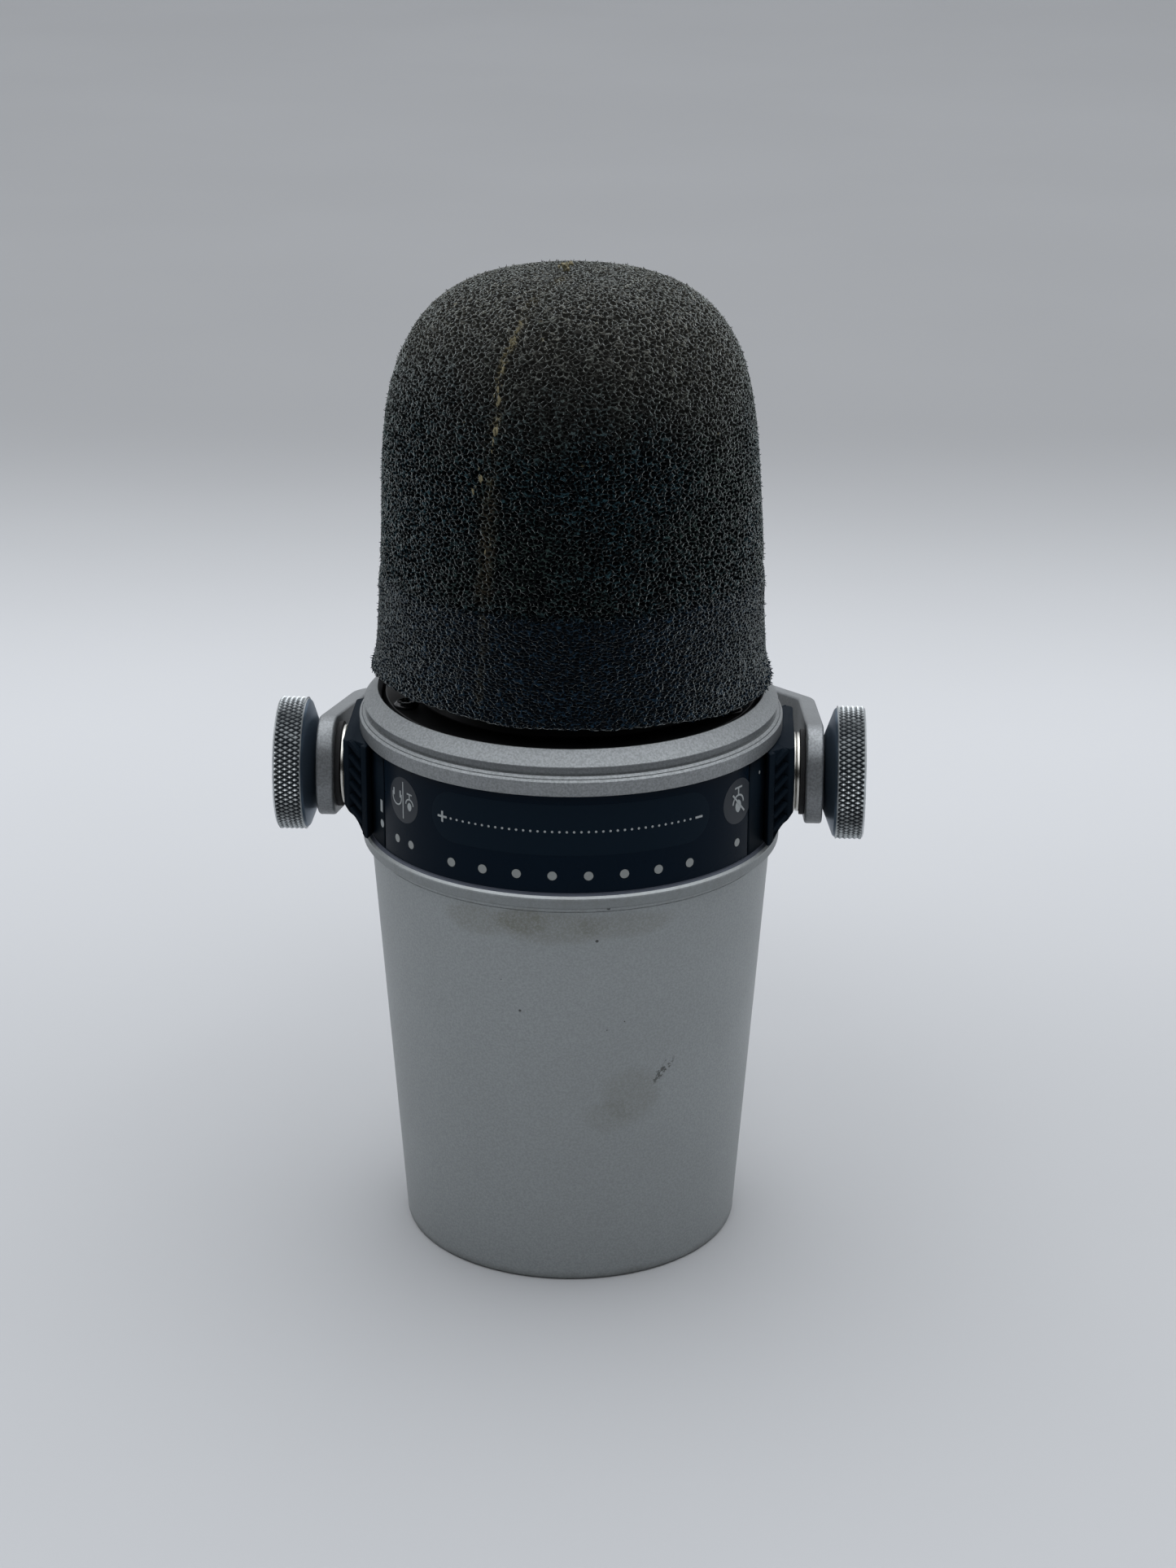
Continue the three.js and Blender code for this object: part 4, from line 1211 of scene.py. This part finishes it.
foam = {"radius": 29.31, "taper": 0.047, "shoulder": 118.7, "top": 152.4, "rise": 3.32, "reach": 3.15,
        "base": 91.5, "bore": 23.3, "boreTop": 146.8, "bandTop": 108.6, "spacing": 0.215,
        "cell": 0.80, "flat": 1.22, "squash": 0.62, "depth": 0.5, "bandDepth": 0.45, "jitter": 0.36,
        "seam": -21.8, "skinRadius": 26.2, "skinTop": 149.6, "skinShoulder": 116.5, "stubs": 0.9,
        "stubLength": 0.32, "netShifts": ((0, 0, 0), (0.0513, 0.0137, 0.0291)), "seed": 7}


def foamSide(z):
    return foam["radius"] - foam["taper"] * (z - 100) + 0.35 * math.exp(-max(0, z - foam["base"]) / 2.6)


def foamNet(g, rest, layers=1):
    # How far a point is from the nearest strand of the open cells, in cells, for the net at the surface
    # and others behind it. Below the joint the cells are squashed.
    x, y, z = g.parts(rest)
    below = g.math("MAXIMUM", foam["bandTop"] * mm - z, 0.0)
    flat = g.node("ShaderNodeCombineXYZ", sockets={0: x, 1: y, 2: z * foam["flat"] - below * foam["squash"]})
    shake = g.vector("SUBTRACT", g.noise(rest, 2300, 1, output="Color"), (0.5, 0.5, 0.5))
    flat = g.vector("ADD", flat, g.scaled(shake, foam["jitter"] * mm))
    found = []
    for offset in foam["netShifts"][:layers]:
        found.append(g.node("ShaderNodeTexVoronoi", {"feature": "DISTANCE_TO_EDGE"}, {
            "Vector": g.vector("ADD", flat, offset), "Scale": 1 / (foam["cell"] * mm)}, output="Distance"))
    return found


def foamTint(g, rest):
    # Strand and pit colours: lighter on the crown from dust and painted sheen, bluish below the joint,
    # greenish between.
    z = g.parts(rest)[2]
    slow = g.noise(rest, 38, 3, 0.6)
    patchy = g.noise(rest, 160, 4, 0.65)
    crown = g.ease(z + (slow - 0.5) * (24 * mm), 127 * mm, 150 * mm)
    joint = foam["bandTop"]
    low = g.ease(z + (patchy - 0.5) * (1.2 * mm), (joint - 1.0) * mm, (joint + 0.4) * mm, 1.0, 0.0)
    strand = g.mix(g.ease(slow, 0.4, 0.62), (0.020, 0.050, 0.062), (0.031, 0.051, 0.044))
    strand = g.mix(low, strand, (0.011, 0.029, 0.050))
    # The crown is lighter from dust and painted sheen.
    strand = g.mix(crown * g.ease(patchy, 0.25, 0.7, 0.6, 1.0), strand, (0.138, 0.134, 0.115))
    # Pits: painted shade inside the open cells.
    pit = g.mix(low, (0.0002, 0.0007, 0.0012), (0.0003, 0.0013, 0.0028))
    return strand, g.mix(crown, pit, (0.021, 0.0205, 0.018))


def foamColour(g, rest, near, deep):
    # Strands lit in painted dashes of highlight over pits and a deeper net painted as shade; old glue along
    # the seam.
    x, y, z = g.parts(rest)
    strand, pit = foamTint(g, rest)
    flat = g.node("ShaderNodeCombineXYZ", sockets={0: x, 1: y, 2: z * 1.9})
    dash = g.noise(flat, 1250, 2, 0.6)
    # Painted highlight: strands lit only in short flat dashes, as by light from above.
    lit = g.ease(dash, 0.48, 0.60, 0.0, 1.15)
    # Painted shade: strands of the net behind are dimmer, and the pits are dark.
    colour = g.mix(g.ease(deep, 0.015, 0.08, 0.22, 0.0) * lit, pit, strand)
    strandOnly = g.ease(near, 0.02, 0.105, 1.0, 0.0)
    colour = g.mix(strandOnly * lit, colour, strand)
    angle = math.radians(foam["seam"] - 90)
    across = g.vector("DOT_PRODUCT", rest, (-math.sin(angle), math.cos(angle), 0))
    across = Value(g, across.socket.node.outputs["Value"]) + math.cos(angle) * -axisY
    across = across + (g.noise(rest, 190, 2) - 0.5) * (1.9 * mm) - (z - 128 * mm) * 0.03
    front = g.ease(y - axisY, -6 * mm, -2 * mm, 1.0, 0.0)
    line = g.ease(g.math("ABSOLUTE", across), 0.2 * mm, 0.9 * mm, 1.0, 0.0) * front
    clumps = g.ease(g.noise(rest, 150, 2), 0.42, 0.52) * g.ease(g.noise(rest, 900, 3, 0.7), 0.38, 0.52)
    fade = g.ease(z, 124 * mm, 132 * mm, 0.12, 1.0) * g.ease(z, 144 * mm, 149 * mm, 1.0, 0.35)
    onGlue = g.ease(near, 0.04, 0.2, 1.0, 0.15)
    colour = g.mix(line * clumps * fade * onGlue * 0.85, colour, (0.22, 0.185, 0.095))
    stain = g.ease(g.math("ABSOLUTE", across), 0.3 * mm, 2.0 * mm, 1.0, 0.0) * front
    streak = g.ease(z, 108 * mm, 112 * mm) * g.ease(z, 122 * mm, 128 * mm, 1.0, 0.3)
    colour = g.mix(stain * streak * onGlue * 0.34, colour, (0.085, 0.070, 0.042))
    flecks = g.ease(g.noise(rest, 520, 2, 0.5), 0.72, 0.76) * g.ease(z, 122 * mm, 134 * mm)
    return g.mix(flecks * onGlue * 0.7, colour, (0.20, 0.18, 0.11))


def foamMaterial():
    def build(g, place):
        rest = attribute(g, "rest", "Vector")
        near, deep = foamNet(g, rest, 2)
        height = g.ease(near, 0.0, 0.16, 1.0, 0.0) + g.noise(rest, 5200, 2) * 0.3
        return {"Base Color": foamColour(g, rest, near, deep), "Roughness": 0.9,
                "Specular IOR Level": 0.04, "Sheen Weight": 0.9, "Sheen Roughness": 0.27,
                "Sheen Tint": (0.93, 1.0, 0.98),
                "Normal": bump(g, height, 0.14 * mm, 0.9)}
    return newMaterial("open cell foam", build)


def fibreShade(g, place):
    rest = attribute(g, "rest", "Vector")
    strand, pit = foamTint(g, rest)
    colour = g.mix(g.noise(rest, 1700, 1), pit, strand)
    return {"Base Color": colour, "Roughness": 0.9, "Specular IOR Level": 0.12}


finishes["fibre"] = newMaterial("foam strand", fibreShade)


def foamBody():
    gap = foam["spacing"]
    bore, low = foam["bore"], foam["base"]
    inner = evenly([(bore, low + 0.4)] + domeLine(lambda z: bore, foam["boreTop"], 116, 3, 2.6), 1.2)
    under = evenly([(foamSide(low) - 0.25, low), (bore + 0.6, low + 0.05)], 2.2 * gap)
    side = [(foamSide(z), z) for z in np.linspace(low + 0.3, foam["shoulder"], 60)[:-1]]
    dome = domeLine(foamSide, foam["top"] - 0.02, foam["shoulder"], foam["rise"], foam["reach"])
    outer = evenly(side + dome, gap)
    body = ringSurface("foam", outer[::-1] + under + inner)
    points = np.empty(len(body.data.vertices) * 3, np.float32)
    body.data.vertices.foreach_get("co", points)
    points = points.reshape(-1, 3)
    # A line half way through the wall tells the outer skin from the bore.
    top, heights = foam["skinTop"], points[:, 2] / mm
    between = np.array(domeLine(lambda z: foam["skinRadius"], top, foam["skinShoulder"], 3.2, 2.9))
    radii = np.hypot(points[:, 0], points[:, 1] - axisY) / mm
    skin = 0.5 + (radii - np.interp(heights, between[:, 1], between[:, 0])) / 1.5
    skin = np.where(heights > top, 1, np.clip(skin, 0, 1))
    body.data.attributes.new("skin", "FLOAT", "POINT").data.foreach_set("value", skin.astype(np.float32))
    body.data.vertices.foreach_set("co", shapedFoam(points).ravel())
    facedOut(body)
    return body


def shapedFoam(points):
    # Handled foam: the lower edge tips up to one side, flares where it was pulled over the head, and
    # has a shallow crease where the lower band was joined on.
    x, y, z = points[:, 0] / mm, (points[:, 1] - axisY) / mm, points[:, 2] / mm
    radius, angle = np.hypot(x, y), np.arctan2(y, x)
    outside = np.clip((radius - 24.5) / 2, 0, 1)
    near = np.exp(-np.clip(z - foam["base"], 0, None) / 7)
    z = z + near * (-1.0 * x / 30 - 0.45 * y / 30 + 0.16 * np.sin(5 * angle + 1) + 0.12 * np.sin(11 * angle))
    edge = np.exp(-np.clip(z - foam["base"], 0, None) / 1.5)
    left = np.exp(-((np.abs(angle) - math.pi + 0.10) / 0.42) ** 2)
    right = np.exp(-((angle + 0.12) / 0.34) ** 2)
    grow = edge * (0.95 * left + 0.62 * right)
    grow -= 0.28 * np.exp(-((z - foam["bandTop"]) / 0.55) ** 2)
    grow += 0.14 * np.exp(-((z - foam["bandTop"] + 2.6) / 1.6) ** 2)
    grow += 0.16 * np.sin(3 * angle + 0.13 * z) * np.clip((z - 95) / 20, 0, 1)
    radius = radius + outside * grow
    return np.stack([radius * np.cos(angle) * mm, radius * np.sin(angle) * mm + axisY, z * mm], 1)


def makeFoam():
    body = foamBody()
    material = foamMaterial()
    tree, g, given = geometryTree("open cells", [("Depth", "NodeSocketFloat", 0.0005)])
    place = g.node("GeometryNodeInputPosition")
    held = g.node("GeometryNodeStoreNamedAttribute", {"data_type": "FLOAT_VECTOR", "domain": "POINT"}, {
        "Geometry": given["Geometry"], "Name": "rest", "Value": place})
    rest = stored(g, "rest", "FLOAT_VECTOR")
    near = foamNet(g, rest)[0]
    skin = stored(g, "skin", "FLOAT")
    pits = g.ease(near, 0.02, 0.32)
    joint = foam["bandTop"] * mm
    calm = g.ease(g.parts(rest)[2], joint - 1.5 * mm, joint, foam["bandDepth"], 1.0)
    sink = g.scaled(g.node("GeometryNodeInputNormal"), pits * calm * skin * given["Depth"] * -1.0)
    carved = g.node("GeometryNodeSetPosition", sockets={"Geometry": held, "Offset": sink})
    leave(g, carved, material)
    runTree(body, tree, {"Depth": foam["depth"] * mm})
    body.data.shade_smooth()
    finished(body, "windscreen", material, "open_cell_foam", "foam_windscreen")
    makeStubs(body)
    print("foam made:", len(body.data.polygons), "faces")


def makeStubs(body):
    # Cut strand ends that stand out of the surface, and longer ones where the edge is frayed.
    fibres = linked("foam_fibres", body.data.copy())
    tree, g, given = geometryTree("cut strand ends", [
        ("Density", "NodeSocketFloat", 1.0), ("Length", "NodeSocketFloat", 0.0004),
        ("Seed", "NodeSocketInt", 1)])
    rest = stored(g, "rest", "FLOAT_VECTOR")
    near = foamNet(g, rest)[0]
    x, _, z = g.parts(rest)
    skin = g.ease(stored(g, "skin", "FLOAT"), 0.9, 1.0)
    fray = g.ease(z, 91.5 * mm, 94.5 * mm, 1.0, 0.0) * g.ease(g.math("ABSOLUTE", x), 22 * mm, 29 * mm)
    onStrand = g.ease(near, 0.1, 0.16, 1.0, 0.0)
    density = skin * onStrand * (fray * 3.0 + 1.0) * given["Density"]
    spread = g.node("GeometryNodeDistributePointsOnFaces", sockets={
        "Mesh": given["Geometry"], "Density": density, "Seed": given["Seed"]}, output="Points")
    turn = Value(g, spread.socket.node.outputs["Rotation"])
    lean = g.node("FunctionNodeRandomValue", {"data_type": "FLOAT_VECTOR"}, {
        0: (-0.9, -0.9, -3.1), 1: (0.9, 0.9, 3.1), "Seed": 3})
    lean = g.node("FunctionNodeEulerToRotation", sockets={0: lean})
    turn = g.node("FunctionNodeRotateRotation", {"rotation_space": "LOCAL"}, {0: turn, 1: lean})
    size = g.node("FunctionNodeRandomValue", {"data_type": "FLOAT"}, {2: 0.5, 3: 1.25, "Seed": 5}, output=1)
    shard = g.node("GeometryNodeMeshCone", sockets={
        "Vertices": 3, "Radius Bottom": 0.07 * mm, "Radius Top": 0.025 * mm, "Depth": given["Length"]})
    stubs = g.node("GeometryNodeInstanceOnPoints", sockets={
        "Points": spread, "Instance": shard, "Rotation": turn, "Scale": size * (fray * 0.5 + 1.0)})
    leave(g, stubs, finishes["fibre"])
    runTree(fibres, tree, {"Density": foam["stubs"] * 1e6, "Length": foam["stubLength"] * mm,
                           "Seed": foam["seed"]})
    finished(fibres, "windscreen", finishes["fibre"], "open_cell_foam")
    print("strand ends made:", len(fibres.data.polygons), "faces")


# Each clump is a height, how many crumbs, and how far they lie beside the seam.
glue = {"seed": 11, "tuft": 20,
        "clumps": [(149.5, 2, 0.1), (145.6, 7, 0), (143.8, 5, -0.2), (140.5, 6, -0.3), (138.6, 7, 0.1),
                   (134.8, 6, 0.3), (132.6, 4, 0.2), (127.4, 4, -1.9), (126.2, 3, -2.3), (119, 2, 0)]}


def makeGlue():
    # Crumbs of old glue along the upper seam and a tuft where it meets the crown.
    rng = random.Random(glue["seed"])
    angle = math.radians(foam["seam"] - 90)
    line = domeLine(foamSide, foam["top"] - 0.02, foam["shoulder"], foam["rise"], foam["reach"], 60)
    radii, heights = zip(*line)
    crumbs, spots = [], []
    for z, count, across in glue["clumps"]:
        for _ in range(count):
            high = min(z + rng.gauss(0, 0.8), foam["top"] - 0.1)
            r = float(np.interp(high, heights, radii))
            beside = across + 0.03 * (high - 128) + rng.gauss(0, 0.26)
            spots.append((r, high, beside, 0.10 + 0.2 * rng.random() ** 2))
    spots += [(rng.uniform(-1.1, 0.7), foam["top"] + rng.uniform(0.0, 1.2), rng.gauss(-0.9, 0.45),
               0.2 + 0.3 * rng.random()) for _ in range(glue["tuft"])]
    for r, z, across, size in spots:
        work = bmesh.new()
        bmesh.ops.create_icosphere(work, subdivisions=1, radius=1)
        for vertex in work.verts:
            vertex.co *= 0.7 + 0.6 * rng.random()
        place = Vector((r * math.cos(angle) - across * math.sin(angle),
                        r * math.sin(angle) + across * math.cos(angle), z - 0.1))
        stretch = Matrix.Diagonal((size * 0.7, size * 0.6, size * 2.2 if r > 2 else size * 0.7, 1))
        turn = Matrix.Rotation(rng.uniform(0, 6.28), 4, "Z")
        turn = turn @ Matrix.Rotation(rng.uniform(-0.5, 0.5), 4, "X")
        bmesh.ops.transform(work, matrix=Matrix.Translation(place) @ turn @ stretch, verts=work.verts)
        crumbs.append(addMesh("crumb", [v.co[:] for v in work.verts],
                              [[v.index for v in f.verts] for f in work.faces]))
        work.free()
    finished(joined("seam_glue", crumbs), "windscreen", finishes["glue"], "open_cell_foam")


keptFinishes = {
    "xlr_insert": "blackPlastic", "usb_tongue": "blackPlastic", "usb_socket": "steel",
    "inner_chassis": "darkMetal", "main_board": "board", "processor_shield": "steel",
    "transformer": "darkMetal", "shock_mount_lower": "rubber", "shock_mount_upper": "rubber",
    "capsule_housing": "darkMetal", "magnet": "steel", "voice_coil": "brass", "diaphragm": "clear",
    "capsule_cap": "darkMetal", "touch_sensor": "board", "light_guide": "clear",
    "pivot_insert_left": "brass", "pivot_insert_right": "brass", "pop_liner": "liner",
    "xlr_pin_1": "steel", "xlr_pin_2": "steel", "xlr_pin_3": "steel",
}


def dressNodes():
    for name, finish in keptFinishes.items():
        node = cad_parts[name]
        if not node.material_slots:
            node.data.materials.append(None)
        for slot in node.material_slots:
            slot.material = finishes[finish]


makeTail()
makeBand()
makePivots()
makeHead()
makeYoke()
makeFoam()
makeGlue()
dressNodes()
